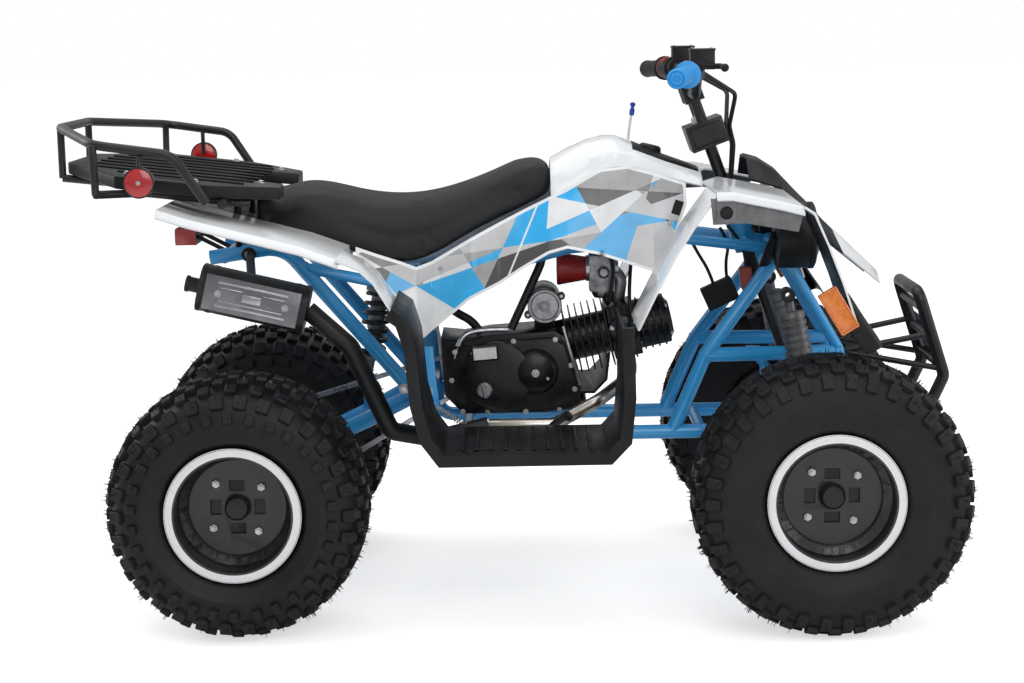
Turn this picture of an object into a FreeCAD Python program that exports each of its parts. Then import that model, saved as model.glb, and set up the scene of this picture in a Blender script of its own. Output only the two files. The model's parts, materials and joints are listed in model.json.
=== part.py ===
import FreeCAD, Part
import math
import os
from types import SimpleNamespace

import Sketcher

# Youth sport quad bike. X runs forward, Y to the rider's left, Z up.
# Stations along X are measured from the rear axle while the pieces are drawn, heights from the
# ground, widths from the middle plane; the whole machine is then set over its own middle.

LENGTHS = {
    # wheels
    "wheelbase": 1017,
    "front_track": 716,
    "rear_track": 585,
    "front_tyre_radius": 239,
    "front_tyre_width": 178,
    "rear_tyre_radius": 226,
    "rear_tyre_width": 235,
    "rim_radius": 116,
    "rim_seat_radius": 103,
    "rim_well_radius": 88,
    "rim_wall": 4,
    "front_rim_width": 158,
    "rear_rim_width": 212,
    "front_disc_depth": 62,
    "rear_disc_depth": 72,
    "tyre_wall": 9,
    "tyre_shoulder": 20,
    "lug_count": 23,
    "front_lug_depth": 9,
    "rear_lug_depth": 14,
    "rim_hole_radius": 9,
    "rim_hole_length": 26,
    "rim_hole_circle": 38,
    "hub_cap_radius": 21,
    "hub_flange_radius": 66,
    "hub_flange": 7,
    # rear axle line
    "axle_radius": 15,
    "rear_hub_radius": 27,
    "sprocket_radius": 74,
    "sprocket_thickness": 5,
    "sprocket_side": 86,
    "sprocket_carrier_radius": 40,
    "disc_radius": 85,
    "disc_thickness": 4,
    "disc_side": 92,
    "carrier_radius": 36,
    "carrier_width": 130,
    "chain_width": 8,
    "chain_height": 9,
    "drive_sprocket_radius": 24,
    "drive_sprocket_height": 392,
    "caliper_length": 78,
    "caliper_width": 44,
    "caliper_height": 46,
    # swing arm
    "pivot_station": 320,
    "pivot_height": 381,
    "pivot_bolt_radius": 8,
    "pivot_sleeve_radius": 18,
    "arm_radius": 15,
    "arm_side": 52,
    "shock_top_station": 240,
    "shock_top_height": 583,
    "shock_stay_share": 0.86,
    "shock_bottom_station": 205,
    "shock_bottom_height": 392,
    "shock_eye_radius": 13,
    "shock_eye_width": 26,
    "rear_spring_radius": 27,
    # frame tubes
    "rail_radius": 13,
    "brace_radius": 10,
    "rail_side": 105,
    "rail_height": 300,
    "rail_rear_station": 332,
    "rail_front_station": 880,
    "nose_station": 1112,
    "nose_height": 258,
    "nose_side": 76,
    "tail_station": -63,
    "tail_height": 634,
    "seat_rail_station": 68,
    "seat_rail_height": 652,
    "diagonal_foot_station": 300,
    "diagonal_foot_height": 378,
    "top_rail_side": 84,
    "tower_station": 966,
    "tower_height": 628,
    "tower_side": 90,
    "elbow_station": 827,
    "elbow_height": 440,
    "front_elbow_station": 1074,
    "front_elbow_height": 440,
    "bend_radius": 60,
    "plate_thickness": 5,
    # front suspension
    "upper_pivot_height": 408,
    "upper_pivot_side": 114,
    "lower_pivot_height": 262,
    "lower_pivot_side": 100,
    "kingpin_side": 242,
    "kingpin_top": 330,
    "kingpin_bottom": 162,
    "ball_joint_length": 24,
    "ball_joint_gap": 5,
    "barrel_foot_gap": 14,
    "upper_arm_back": 78,
    "upper_arm_ahead": 78,
    "lower_arm_back": 72,
    "lower_arm_ahead": 88,
    "arm_tube_radius": 9,
    "seat_tube_radius": 8,
    "ball_joint_radius": 14,
    "front_shock_top_station": 972,
    "front_shock_top_height": 552,
    "front_shock_top_side": 136,
    "front_shock_foot_ahead": 13,
    "front_shock_foot_side": 176,
    "front_sleeve_radius": 24,
    "front_sleeve_length": 150,
    "front_rod_radius": 9,
    "kingpin_radius": 8,
    "knuckle_radius": 15,
    "spindle_radius": 10,
    "spindle_shoulder": 15,
    "front_hub_radius": 28,
    "knuckle_arm_length": 47,
    "knuckle_arm_height": 290,
    "knuckle_arm_thickness": 8,
    "knuckle_arm_width": 26,
    "brake_drum_radius": 62,
    "brake_drum_width": 34,
    "brake_drum_side": 300,
    "brake_plate": 5,
    "moving_gap": 5,
    # steering
    "column_station": 843,
    "column_height": 824,
    "column_lean": 19.6,
    "column_radius": 11,
    "column_foot": 484,
    "column_top": 93,
    "riser_side": 28,
    "riser_radius": 10,
    "stem_box_length": 70,
    "stem_box_width": 92,
    "stem_box_height": 48,
    "stem_box_low": 12,
    "pitman_length": 51,
    "pitman_thickness": 8,
    "rod_radius": 7,
    "rod_end_radius": 11,
    "open_end_radius": 15,
    "rod_end_width": 16,
    "rod_end_gap": 6,
    "open_end_gap": 9,
    "rod_pin_radius": 4,
    "rod_pin_length": 26,
    "bar_radius": 11,
    "bar_station": 808,
    "bar_bend_side": 92,
    "bar_rise_side": 168,
    "bar_rise_height": 952,
    "bar_end_side": 364,
    "bar_end_height": 946,
    "bar_end_station": 760,
    "grip_radius": 16,
    "grip_length": 118,
    "grip_flange_radius": 24,
    "grip_flange": 6,
    "switch_width": 46,
    "switch_radius": 21,
    "reservoir_length": 42,
    "reservoir_width": 34,
    "reservoir_height": 34,
    "lever_radius": 5,
    "lever_ball_radius": 7,
    "clamp_width": 24,
    "clamp_length": 36,
    "clamp_height": 36,
    "cable_radius": 4,
    # engine
    "engine_width": 210,
    "case_rear_station": 347,
    "case_length": 255,
    "case_bottom": 334,
    "case_height": 150,
    "case_edge": 10,
    "clutch_cover_radius": 62,
    "clutch_cover_depth": 16,
    "cylinder_lean": 12,
    "cylinder_station": 574,
    "cylinder_height": 455,
    "barrel_radius": 40,
    "barrel_length": 86,
    "fin_pitch": 12.5,
    "fin_thickness": 3,
    "fin_width": 126,
    "fin_height": 112,
    "fin_count": 7,
    "head_length": 52,
    "head_width": 104,
    "head_height": 96,
    "cover_length": 58,
    "cover_radius": 46,
    "starter_radius": 31,
    "starter_length": 120,
    "starter_station": 538,
    "starter_foot": 18,
    "inlet_radius": 13,
    "carb_station": 645,
    "carb_height": 590,
    "carb_width": 52,
    "carb_length": 46,
    "carb_body_height": 66,
    "filter_length": 60,
    "filter_radius": 31,
    # exhaust
    "header_radius": 12,
    "pipe_radius": 16.5,
    "silencer_side": 250,
    "silencer_front_station": 124,
    "silencer_front_height": 556,
    "silencer_length": 190,
    "silencer_lean": 13.6,
    "silencer_height": 80,
    "silencer_width": 74,
    "outlet_radius": 13,
    "outlet_length": 26,
    "shield_thickness": 3,
    "shield_length": 166,
    "shield_height": 62,
    # seat and body skins
    "body_length": 1258,
    "body_height": 836,
    "body_width": 310,
    "skin": 4,
    "seat_gap": 0.3,
    "seat_half_width": 112,
    "fender_dip": 20,
    "fender_lip": 12,
    "rear_fender_side": 380,
    "rear_fender_inner_side": 232,
    "front_fender_side": 392,
    "front_fender_inner_side": 112,
    "front_leg_inner_side": 190,
    "lamp_outer_side": 232,
    # rack
    "rack_tube_radius": 8,
    "rack_post_radius": 6.5,
    "rack_runner_radius": 7,
    "rack_bar_station": -318,
    "rack_bar_side": 120,
    "rack_bar_height": 872,
    "rack_corner_station": -213,
    "rack_corner_side": 363,
    "rack_corner_height": 854,
    "rack_bend_station": -84,
    "rack_bend_side": 354,
    "rack_bend_height": 835,
    "rack_foot_station": -30,
    "rack_foot_side": 345,
    "rack_foot_height": 752,
    "rack_corner_radius": 40,
    "deck_thickness": 22,
    "deck_rear_station": -308,
    "deck_rear_height": 812,
    "deck_front_station": 76,
    "deck_front_height": 766,
    "deck_half_width": 300,
    "deck_rear_half_width": 118,
    "deck_slot_width": 22,
    "deck_slot_length": 120,
    "deck_slot_pitch": 62,
    "reflector_radius": 26,
    "reflector_depth": 12,
    "reflector_station": -138,
    "reflector_height": 790,
    "tail_lamp_station": -135,
    "tail_lamp_height": 666,
    "tail_lamp_length": 38,
    "tail_lamp_width": 96,
    "tail_lamp_tall": 30,
    # front end
    "lamp_radius": 58,
    "lamp_depth": 62,
    "lamp_station": 1012,
    "lamp_height": 660,
    "lamp_side": 150,
    "bumper_radius": 11,
    "bumper_side": 100,
    "bumper_stay_radius": 5.5,
    "bumper_front_station": 1262,
    "bumper_top_height": 548,
    "bumper_bottom_height": 350,
    "bumper_face_height": 394,
    "bumper_plate_thickness": 3,
    "bumper_plate_width": 170,
    "bumper_plate_tall": 96,
    "amber_length": 74,
    "amber_width": 30,
    "amber_station": 1036,
    "amber_height": 566,
    "amber_lean": 31,
    "amber_depth": 8,
    # foot guards
    "guard_inner_side": 168,
    "guard_outer_side": 418,
    "guard_lip": 16,
    "guard_floor_height": 328,
    "guard_floor_rear": 362,
    "guard_floor_front": 634,
    "guard_sheet": 5,
    "guard_rib": 20,
    "guard_rear_stay": 404,
    "guard_front_stay": 612,
    # brake pedal
    "pedal_side": 140,
    "pedal_station": 577,
    "pedal_height": 340,
    "pedal_pivot_station": 510,
    "pedal_pivot_height": 300,
    "pedal_thickness": 7,
    # clearances
    "running_gap": 0.3,
    "overrun": 2,
}

doc = FreeCAD.newDocument("quad_bike")
sheet = doc.addObject("Spreadsheet::Sheet", "sizes")
for row, (name, value) in enumerate(LENGTHS.items(), start=1):
    sheet.set(f"A{row}", name)
    sheet.set(f"B{row}", str(value))
    sheet.setAlias(f"B{row}", name)
doc.recompute()


# Sizes that carry both their number and the sheet expression they come from.

class Size:
    RULES = {
        "+": lambda one, two: one + two,
        "-": lambda one, two: one - two,
        "*": lambda one, two: one * two,
        "/": lambda one, two: one / two,
    }

    def __init__(self, number, words):
        self.number = number
        self.words = words

    def __add__(self, other):
        return worked_out(self, "+", other)

    def __radd__(self, other):
        return worked_out(other, "+", self)

    def __sub__(self, other):
        return worked_out(self, "-", other)

    def __rsub__(self, other):
        return worked_out(other, "-", self)

    def __mul__(self, other):
        return worked_out(self, "*", other)

    def __rmul__(self, other):
        return worked_out(other, "*", self)

    def __truediv__(self, other):
        return worked_out(self, "/", other)

    def __neg__(self):
        return worked_out(0, "-", self)


def as_size(value):
    return value if isinstance(value, Size) else Size(float(value), str(value))


def worked_out(first, sign, second):
    one = as_size(first)
    two = as_size(second)
    return Size(Size.RULES[sign](one.number, two.number), f"({one.words} {sign} {two.words})")


mm = SimpleNamespace(**{name: float(sheet.get(name)) for name in LENGTHS})
size = SimpleNamespace(**{name: Size(float(sheet.get(name)), f"sizes.{name}") for name in LENGTHS})

rear_end = size.rack_bar_station - size.rack_tube_radius
front_end = size.bumper_front_station + size.bumper_radius
middle_station = (rear_end + front_end) / 2
X_AXIS = FreeCAD.Vector(1, 0, 0)
Y_AXIS = FreeCAD.Vector(0, 1, 0)
Z_AXIS = FreeCAD.Vector(0, 0, 1)
nodes = []


# Ways of making pieces

def point(station, side, height):
    return FreeCAD.Vector(*(as_size(value).number for value in (station, side, height)))


def moved_over_middle(piece, station=0, side=0, height=0):
    piece.setExpression(".Placement.Base.x", (as_size(station) - middle_station).words)
    piece.setExpression(".Placement.Base.y", as_size(side).words)
    piece.setExpression(".Placement.Base.z", as_size(height).words)
    return piece


def set_over_middle(piece, station=0, side=0, height=0):
    nodes.append(moved_over_middle(piece, station, side, height))
    return piece


def trimmed(label, piece, others):
    """Take away what the other pieces fill, so that they meet face to face."""
    for number, other in enumerate(others, 1):
        cut = doc.addObject("Part::Cut", f"{label}_trim_{number}")
        cut.Base = piece
        cut.Tool = other
        piece = cut
    piece.Label = label
    nodes.append(piece)
    return piece


def new_body(label):
    body = doc.addObject("PartDesign::Body", label)
    body.Label = label
    return body


def sketch_on(body, plane, offset=0):
    sketch = body.newObject("Sketcher::SketchObject", f"{body.Name}_sketch")
    support = next(face for face in body.Origin.OriginFeatures if face.Role == plane)
    sketch.AttachmentSupport = (support, [""])
    sketch.MapMode = "FlatFace"
    sketch.setExpression(".AttachmentOffset.Base.z", as_size(offset).words)
    return sketch


def tie(sketch, kind, geometry, vertex, value):
    index = sketch.addConstraint(
        Sketcher.Constraint(kind, -1, 1, geometry, vertex, as_size(value).number))
    sketch.setExpression(f"Constraints[{index}]", as_size(value).words)


def outline(sketch, corners):
    count = len(corners)
    first = sketch.GeometryCount
    for index, (across, up) in enumerate(corners):
        next_across, next_up = corners[(index + 1) % count]
        sketch.addGeometry(Part.LineSegment(point(across, up, 0), point(next_across, next_up, 0)))
    for index, (across, up) in enumerate(corners):
        following = first + (index + 1) % count
        sketch.addConstraint(Sketcher.Constraint("Coincident", first + index, 2, following, 1))
        tie(sketch, "DistanceX", first + index, 1, across)
        tie(sketch, "DistanceY", first + index, 1, up)


def circle(sketch, across, up, radius):
    geometry = sketch.addGeometry(Part.Circle(point(across, up, 0), Z_AXIS, as_size(radius).number))
    index = sketch.addConstraint(Sketcher.Constraint("Radius", geometry, as_size(radius).number))
    sketch.setExpression(f"Constraints[{index}]", as_size(radius).words)
    tie(sketch, "DistanceX", geometry, 3, across)
    tie(sketch, "DistanceY", geometry, 3, up)


def rectangle(sketch, left, right, bottom, top):
    outline(sketch, [(left, bottom), (right, bottom), (right, top), (left, top)])


def pad(body, sketch, length, both_ways=False, backward=False):
    feature = body.newObject("PartDesign::Pad", f"{body.Name}_pad")
    feature.Profile = sketch
    feature.setExpression("Length", as_size(length).words)
    feature.Midplane = both_ways
    feature.Reversed = backward
    return feature


def pocket_through(body, sketch):
    feature = body.newObject("PartDesign::Pocket", f"{body.Name}_pocket")
    feature.Profile = sketch
    feature.Type = "ThroughAll"
    feature.Midplane = True
    return feature


def turned(body, sketch, axis="H_Axis"):
    feature = body.newObject("PartDesign::Revolution", f"{body.Name}_turned")
    feature.Profile = sketch
    feature.ReferenceAxis = (sketch, [axis])
    feature.Angle = 360
    return feature


def repeat_round(body, feature, sketch, count):
    pattern = body.newObject("PartDesign::PolarPattern", f"{body.Name}_pattern")
    pattern.Originals = [feature]
    pattern.Axis = (sketch, ["N_Axis"])
    pattern.Angle = 360
    pattern.Occurrences = count
    body.Tip = pattern
    return pattern


def in_stations(piece):
    doc.recompute()
    return piece.Shape.copy().translate(X_AXIS * middle_station.number)


def formed(label, shape):
    piece = doc.addObject("Part::Feature", label)
    piece.Label = label
    piece.Shape = shape
    return set_over_middle(piece)


def mirrored(shape):
    return shape.mirror(FreeCAD.Vector(0, 0, 0), Y_AXIS)


def both_sides(shape):
    return [shape, mirrored(shape)]


def welded(shapes):
    """Fuse shapes; the seams left between faces on one surface go wherever that stays sound."""
    joined = shapes[0].multiFuse(shapes[1:]) if len(shapes) > 1 else shapes[0]
    refined = joined.removeSplitter()
    return refined if refined.isValid() else joined


def coped(shape, others):
    left = shape.cut(others)
    return max(left.Solids, key=lambda solid: solid.Volume)


def rod(start, end, radius):
    along = end - start
    return Part.makeCylinder(radius, along.Length, start, along)


def tube(corners, radius, bend_radius):
    """Join straight runs of round tube with true round bends, tangent to both runs."""
    pieces = []
    last = corners[0]
    for before, corner, after in zip(corners, corners[1:], corners[2:]):
        arriving = (corner - before).normalize()
        leaving = (after - corner).normalize()
        turn = arriving.getAngle(leaving)
        tangent = bend_radius * math.tan(turn / 2)
        start = corner - arriving * tangent
        inward = (leaving - arriving).normalize()
        centre = corner + inward * (bend_radius / math.cos(turn / 2))
        pieces.append(rod(last, start, radius))
        section = Part.Face(Part.Wire(Part.makeCircle(radius, start, arriving)))
        pieces.append(section.revolve(centre, arriving.cross(leaving), math.degrees(turn)))
        last = corner + leaving * tangent
    pieces.append(rod(last, corners[-1], radius))
    return welded(pieces)


def plate_between(corners, side, thickness):
    wire = Part.makePolygon([point(x, side, z) for x, z in corners + corners[:1]])
    return Part.Face(wire).extrude(Y_AXIS * thickness)


def lofted(sections, smooth=True):
    return Part.makeLoft([Part.makePolygon(ring + ring[:1]) for ring in sections], True, not smooth)


# Wheels: hollow carcass with staggered lugs on a dished steel rim, drawn about the axle with its
# outer face outward

front_axle_height = size.front_tyre_radius
rear_axle_height = size.rear_tyre_radius
well_share = 0.40
seat_share = 0.52
lug_top_share = 0.72


def facet(corners):
    return Part.Face(Part.makePolygon(corners + corners[:1]))


def lug(cell, height):
    """Stand a tapering lug on one cell of the tread: four leaning walls and a smaller flat top."""
    middle = sum(cell, FreeCAD.Vector()) * (1 / len(cell))
    normal = (cell[1] - cell[0]).cross(cell[2] - cell[1]).normalize()
    top = [middle + (corner - middle) * lug_top_share + normal * height for corner in cell]
    walls = [facet([cell[index - 1], cell[index], top[index],
                    top[index - 1]]) for index in range(len(cell))]
    return walls + [facet(top)]


def tyre(centre, width, radius, rim_width, lug_height):
    """A hollow carcass of flat cells, two to a lug, with staggered lugs in three rows round its tread."""
    cells = int(mm.lug_count) * 2
    step = 2 * math.pi / cells
    half = width / 2
    bead = rim_width / 2 - mm.rim_wall
    seat = mm.rim_seat_radius / math.cos(step)
    tread = radius - lug_height
    shoulder = (half - mm.tyre_wall, tread - mm.tyre_shoulder * 1.4)
    rib = (half * 0.42, tread)
    belly = (half, (radius + mm.rim_radius) / 2 - mm.tyre_shoulder / 4)
    bead_top = (bead, mm.rim_radius + mm.tyre_wall / 4)
    side_ring = [belly, bead_top, (bead, seat), (bead - mm.tyre_wall, seat),
                 (half * 0.7, tread - mm.tyre_wall * 2)]

    def ring_point(corner, index):
        across, reach = corner
        turn = (index - 0.5) * step
        return centre + FreeCAD.Vector(reach * math.sin(turn), across, -reach * math.cos(turn))

    def opposite(corner):
        return -corner[0], corner[1]

    faces = []
    rows = [(shoulder, rib), (rib, opposite(rib)), (opposite(rib), opposite(shoulder))]
    for index in range(cells):
        for row, (near, far) in enumerate(rows):
            cell = [ring_point(near, index), ring_point(near, index + 1),
                    ring_point(far, index + 1), ring_point(far, index)]
            if (index + row) % 2:
                faces += lug(cell, radius - tread * math.cos(step / 2))
            else:
                faces.append(facet(cell))
    left_ring = side_ring + [opposite(side_ring[-1])]
    for index in range(0, cells, 2):
        for near, far in zip(left_ring, left_ring[1:]):
            faces.append(facet([ring_point(near, index), ring_point(near, index + 2),
                                ring_point(far, index + 2), ring_point(far, index)]))
        for near, far in zip(side_ring, side_ring[1:]):
            faces.append(facet([ring_point(opposite(near), index), ring_point(opposite(near), index + 2),
                                ring_point(opposite(far), index + 2), ring_point(opposite(far), index)]))
        for side in (shoulder, opposite(shoulder)):
            low = belly if side == shoulder else opposite(belly)
            faces.append(facet([ring_point(low, index), ring_point(low, index + 2),
                                ring_point(side, index + 1)]))
            faces.append(facet([ring_point(low, index), ring_point(side, index + 1),
                                ring_point(side, index)]))
            faces.append(facet([ring_point(low, index + 2), ring_point(side, index + 2),
                                ring_point(side, index + 1)]))
    shell = Part.Shell(faces)
    carcass = Part.Solid(shell)
    return carcass if carcass.Volume > 0 else carcass.reversed()


def rim(label, station, side, outward, width, disc_depth, height):
    body = new_body(label)
    section = sketch_on(body, "YZ_Plane")
    half = width / 2
    wall = size.rim_wall
    disc = half - disc_depth
    well = half * well_share
    seat = half * seat_share
    outer = [
        (-half, size.rim_radius),
        (wall - half, size.rim_radius),
        (wall - half, size.rim_seat_radius),
        (-seat, size.rim_seat_radius),
        (-well, size.rim_well_radius),
        (well, size.rim_well_radius),
        (seat, size.rim_seat_radius),
        (half - wall, size.rim_seat_radius),
        (half - wall, size.rim_radius),
        (half, size.rim_radius),
    ]
    inner = [
        (half, size.rim_seat_radius - wall),
        (seat, size.rim_seat_radius - wall),
        (well, size.rim_well_radius - wall),
        (disc + wall / 2, size.rim_well_radius - wall),
        (disc + wall / 2, size.hub_cap_radius),
        (disc - wall / 2, size.hub_cap_radius),
        (disc - wall / 2, size.rim_well_radius - wall),
        (-well, size.rim_well_radius - wall),
        (-seat, size.rim_seat_radius - wall),
        (-half, size.rim_seat_radius - wall),
    ]
    outline(section, [(across * outward, up) for across, up in outer + inner])
    turned(body, section)
    doc.recompute()
    window = sketch_on(body, "XZ_Plane")
    reach = size.rim_hole_circle
    spread = size.rim_hole_length / 2
    rectangle(window, -spread, spread, reach - size.rim_hole_radius, reach + size.rim_hole_radius)
    cut = pocket_through(body, window)
    doc.recompute()
    repeat_round(body, cut, window, 4)
    return set_over_middle(body, station, side * outward, height)


front_disc_side = size.front_track / 2 + size.front_rim_width / 2 - size.front_disc_depth
rear_disc_side = size.rear_track / 2 + size.rear_rim_width / 2 - size.rear_disc_depth
hub_face = front_disc_side - size.rim_wall / 2

front_centre = point(mm.wheelbase, mm.front_track / 2, mm.front_tyre_radius)
front_tyre = tyre(front_centre, mm.front_tyre_width, mm.front_tyre_radius, mm.front_rim_width,
                  mm.front_lug_depth)
rear_centre = point(0, mm.rear_track / 2, mm.rear_tyre_radius)
rear_tyre = tyre(rear_centre, mm.rear_tyre_width, mm.rear_tyre_radius, mm.rear_rim_width, mm.rear_lug_depth)

for word, outward in (("right", -1), ("left", 1)):
    formed(f"front_tyre_{word}", front_tyre if outward > 0 else mirrored(front_tyre))
    rim(f"front_rim_{word}", size.wheelbase, size.front_track / 2, outward,
        size.front_rim_width, size.front_disc_depth, front_axle_height)
    formed(f"rear_tyre_{word}", rear_tyre if outward > 0 else mirrored(rear_tyre))
    rim(f"rear_rim_{word}", 0, size.rear_track / 2, outward,
        size.rear_rim_width, size.rear_disc_depth, rear_axle_height)

# Front hubs: flange against the rim, cap through its bore, brake drum open towards the knuckle

drum_end = size.brake_drum_side + size.brake_drum_width
bore = size.spindle_radius + size.running_gap
drum_well = size.brake_drum_radius - size.hub_flange
spindle_end = hub_face - size.hub_flange

for word, outward in (("right", -1), ("left", 1)):
    hub = new_body(f"front_hub_{word}")
    section = sketch_on(hub, "YZ_Plane")
    cap_end = front_disc_side + size.rim_wall / 2 + size.hub_cap_radius * 0.8
    corners = [
        (size.brake_drum_side, drum_well),
        (size.brake_drum_side, size.brake_drum_radius),
        (drum_end, size.brake_drum_radius),
        (drum_end, size.front_hub_radius),
        (hub_face - size.hub_flange, size.front_hub_radius),
        (hub_face - size.hub_flange, size.hub_flange_radius),
        (hub_face, size.hub_flange_radius),
        (hub_face, size.hub_cap_radius),
        (cap_end - size.hub_flange / 2, size.hub_cap_radius),
        (cap_end, size.hub_cap_radius - size.hub_flange / 2),
        (cap_end, 0),
        (spindle_end + size.running_gap, 0),
        (spindle_end + size.running_gap, bore),
        (size.brake_drum_side, bore),
        (size.brake_drum_side, size.front_hub_radius - size.hub_flange),
        (drum_end - size.hub_flange, size.front_hub_radius - size.hub_flange),
        (drum_end - size.hub_flange, drum_well),
    ]
    outline(section, [(across * outward, up) for across, up in corners])
    turned(hub, section)
    set_over_middle(hub, size.wheelbase, 0, front_axle_height)

# Rear axle: one live shaft with a hub at each end, the sprocket on the left, the disc on the right

axle = new_body("rear_axle")
section = sketch_on(axle, "YZ_Plane")
rear_hub_face = rear_disc_side - size.rim_wall / 2
cap_end = rear_disc_side + size.rim_wall / 2 + size.hub_cap_radius * 0.8
carrier_face = size.carrier_width / 2 + size.moving_gap
hub_start = size.rear_track / 2 - size.rear_tyre_width / 2 + size.rear_hub_radius
side_profile = [
    (carrier_face, size.axle_radius),
    (carrier_face, size.sprocket_carrier_radius),
    (size.sprocket_side - size.sprocket_thickness / 2, size.sprocket_carrier_radius),
    (size.sprocket_side - size.sprocket_thickness / 2, size.axle_radius + size.hub_flange),
    (size.sprocket_side + size.axle_radius * 2, size.axle_radius + size.hub_flange),
    (size.sprocket_side + size.axle_radius * 2, size.axle_radius),
    (hub_start, size.axle_radius),
    (hub_start, size.rear_hub_radius),
    (rear_hub_face - size.hub_flange, size.rear_hub_radius),
    (rear_hub_face - size.hub_flange, size.hub_flange_radius),
    (rear_hub_face, size.hub_flange_radius),
    (rear_hub_face, size.hub_cap_radius),
    (cap_end - size.hub_flange / 2, size.hub_cap_radius),
    (cap_end, size.hub_cap_radius - size.hub_flange / 2),
    (cap_end, 0),
]
outline(section, side_profile + [(-across, up) for across, up in reversed(side_profile)])
turned(axle, section)
set_over_middle(axle, 0, 0, rear_axle_height)

for label, side, radius, thickness in (
        ("rear_sprocket", size.sprocket_side, size.sprocket_radius, size.sprocket_thickness),
        ("rear_brake_disc", -size.disc_side, size.disc_radius, size.disc_thickness)):
    plate = new_body(label)
    face = sketch_on(plate, "XZ_Plane")
    circle(face, 0, 0, radius)
    circle(face, 0, 0, size.axle_radius + size.hub_flange)
    pad(plate, face, thickness, both_ways=True)
    doc.recompute()
    hole = sketch_on(plate, "XZ_Plane")
    circle(hole, 0, (radius + size.sprocket_carrier_radius) / 2,
           (radius - size.sprocket_carrier_radius) / 4)
    cut = pocket_through(plate, hole)
    doc.recompute()
    repeat_round(plate, cut, hole, 6)
    set_over_middle(plate, 0, side, rear_axle_height)

# Knuckles: kingpin barrel, spindle, brake plate and steering arm

wheel_x = mm.wheelbase
arm_back = mm.knuckle_arm_length
barrel_top = mm.kingpin_top - mm.ball_joint_length - mm.ball_joint_gap
barrel_bottom = mm.kingpin_bottom + mm.ball_joint_length + mm.barrel_foot_gap
kingpin = rod(point(wheel_x, mm.kingpin_side, mm.kingpin_bottom),
              point(wheel_x, mm.kingpin_side, mm.kingpin_top), mm.kingpin_radius)
barrel = rod(point(wheel_x, mm.kingpin_side, barrel_bottom),
             point(wheel_x, mm.kingpin_side, barrel_top), mm.knuckle_radius)
axle_height = mm.front_tyre_radius
plate_side = mm.brake_drum_side - mm.moving_gap
shoulder = rod(point(wheel_x, mm.kingpin_side, axle_height), point(wheel_x, plate_side, axle_height),
               mm.spindle_shoulder)
spindle = rod(point(wheel_x, mm.kingpin_side, axle_height), point(wheel_x, spindle_end, axle_height),
              mm.spindle_radius)
brake_plate = rod(point(wheel_x, plate_side - mm.brake_plate, axle_height),
                  point(wheel_x, plate_side, axle_height), mm.brake_drum_radius)
arm_low = mm.knuckle_arm_height - mm.knuckle_arm_thickness / 2
arm_wide = mm.knuckle_arm_width / 2
arm_tip = point(wheel_x - arm_back, mm.kingpin_side, arm_low)
arm_plate = Part.makeBox(arm_back, mm.knuckle_arm_width, mm.knuckle_arm_thickness,
                         point(wheel_x - arm_back, mm.kingpin_side - arm_wide, arm_low))
arm_end = Part.makeCylinder(arm_wide, mm.knuckle_arm_thickness, arm_tip)
stud = Part.makeCylinder(mm.rod_pin_radius, mm.rod_pin_length, arm_tip - Z_AXIS * mm.rod_pin_length)
knuckle = welded([barrel, kingpin, shoulder, spindle, brake_plate, arm_plate, arm_end, stud])
formed("knuckle_left", knuckle)
formed("knuckle_right", mirrored(knuckle))

# Steering column: leaning shaft with the pitman plate at its foot and the bar clamp on top

column_head = point(mm.column_station, 0, mm.column_height)
column_turn = FreeCAD.Rotation(Y_AXIS, -mm.column_lean)
column_frame = FreeCAD.Placement(column_head, column_turn)
shaft = Part.makeCylinder(mm.column_radius, mm.column_foot, Z_AXIS * -mm.column_foot)
pitman_low = -mm.column_foot - mm.pitman_thickness
eye = mm.rod_end_radius
pitman = Part.makeBox(mm.pitman_length, 2 * eye, mm.pitman_thickness,
                      FreeCAD.Vector(-mm.pitman_length, -eye, pitman_low))
pitman_boss = Part.makeCylinder(mm.column_radius * 2, mm.pitman_thickness * 2, Z_AXIS * pitman_low)
pin_foot = FreeCAD.Vector(eye - mm.pitman_length, 0, pitman_low)
pins = [Part.makeCylinder(mm.rod_pin_radius, mm.pitman_thickness + 2 * mm.rod_pin_length,
                          pin_foot - Z_AXIS * mm.rod_pin_length)]
stem_box = Part.makeBox(mm.stem_box_length, mm.stem_box_width, mm.stem_box_height,
                        FreeCAD.Vector(-mm.stem_box_length / 2, -mm.stem_box_width / 2, -mm.stem_box_low))
risers = []
for side in (-mm.riser_side, mm.riser_side):
    risers.append(Part.makeCylinder(mm.riser_radius, mm.column_top, Y_AXIS * side))
    risers.append(Part.makeBox(
        mm.clamp_length, mm.clamp_width, mm.clamp_height,
        FreeCAD.Vector(-mm.clamp_length / 2, side - mm.clamp_width / 2,
                       mm.column_top - mm.clamp_height / 2)))
column = welded([shaft, pitman, pitman_boss, stem_box] + pins + risers)
column.Placement = column_frame

# Handlebar, grips, switches with their levers, and the control cables held along the column

bar_middle = column_frame.multVec(Z_AXIS * mm.column_top)
bar_corners = [
    point(mm.bar_end_station, -mm.bar_end_side, mm.bar_end_height),
    point(mm.bar_station, -mm.bar_rise_side, mm.bar_rise_height),
    bar_middle - Y_AXIS * mm.bar_bend_side,
    bar_middle + Y_AXIS * mm.bar_bend_side,
    point(mm.bar_station, mm.bar_rise_side, mm.bar_rise_height),
    point(mm.bar_end_station, mm.bar_end_side, mm.bar_end_height),
]
handlebar = tube(bar_corners, mm.bar_radius, mm.bend_radius)
column = column.cut(handlebar)
formed("steering_shaft", column)
formed("handlebar", handlebar)

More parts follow.
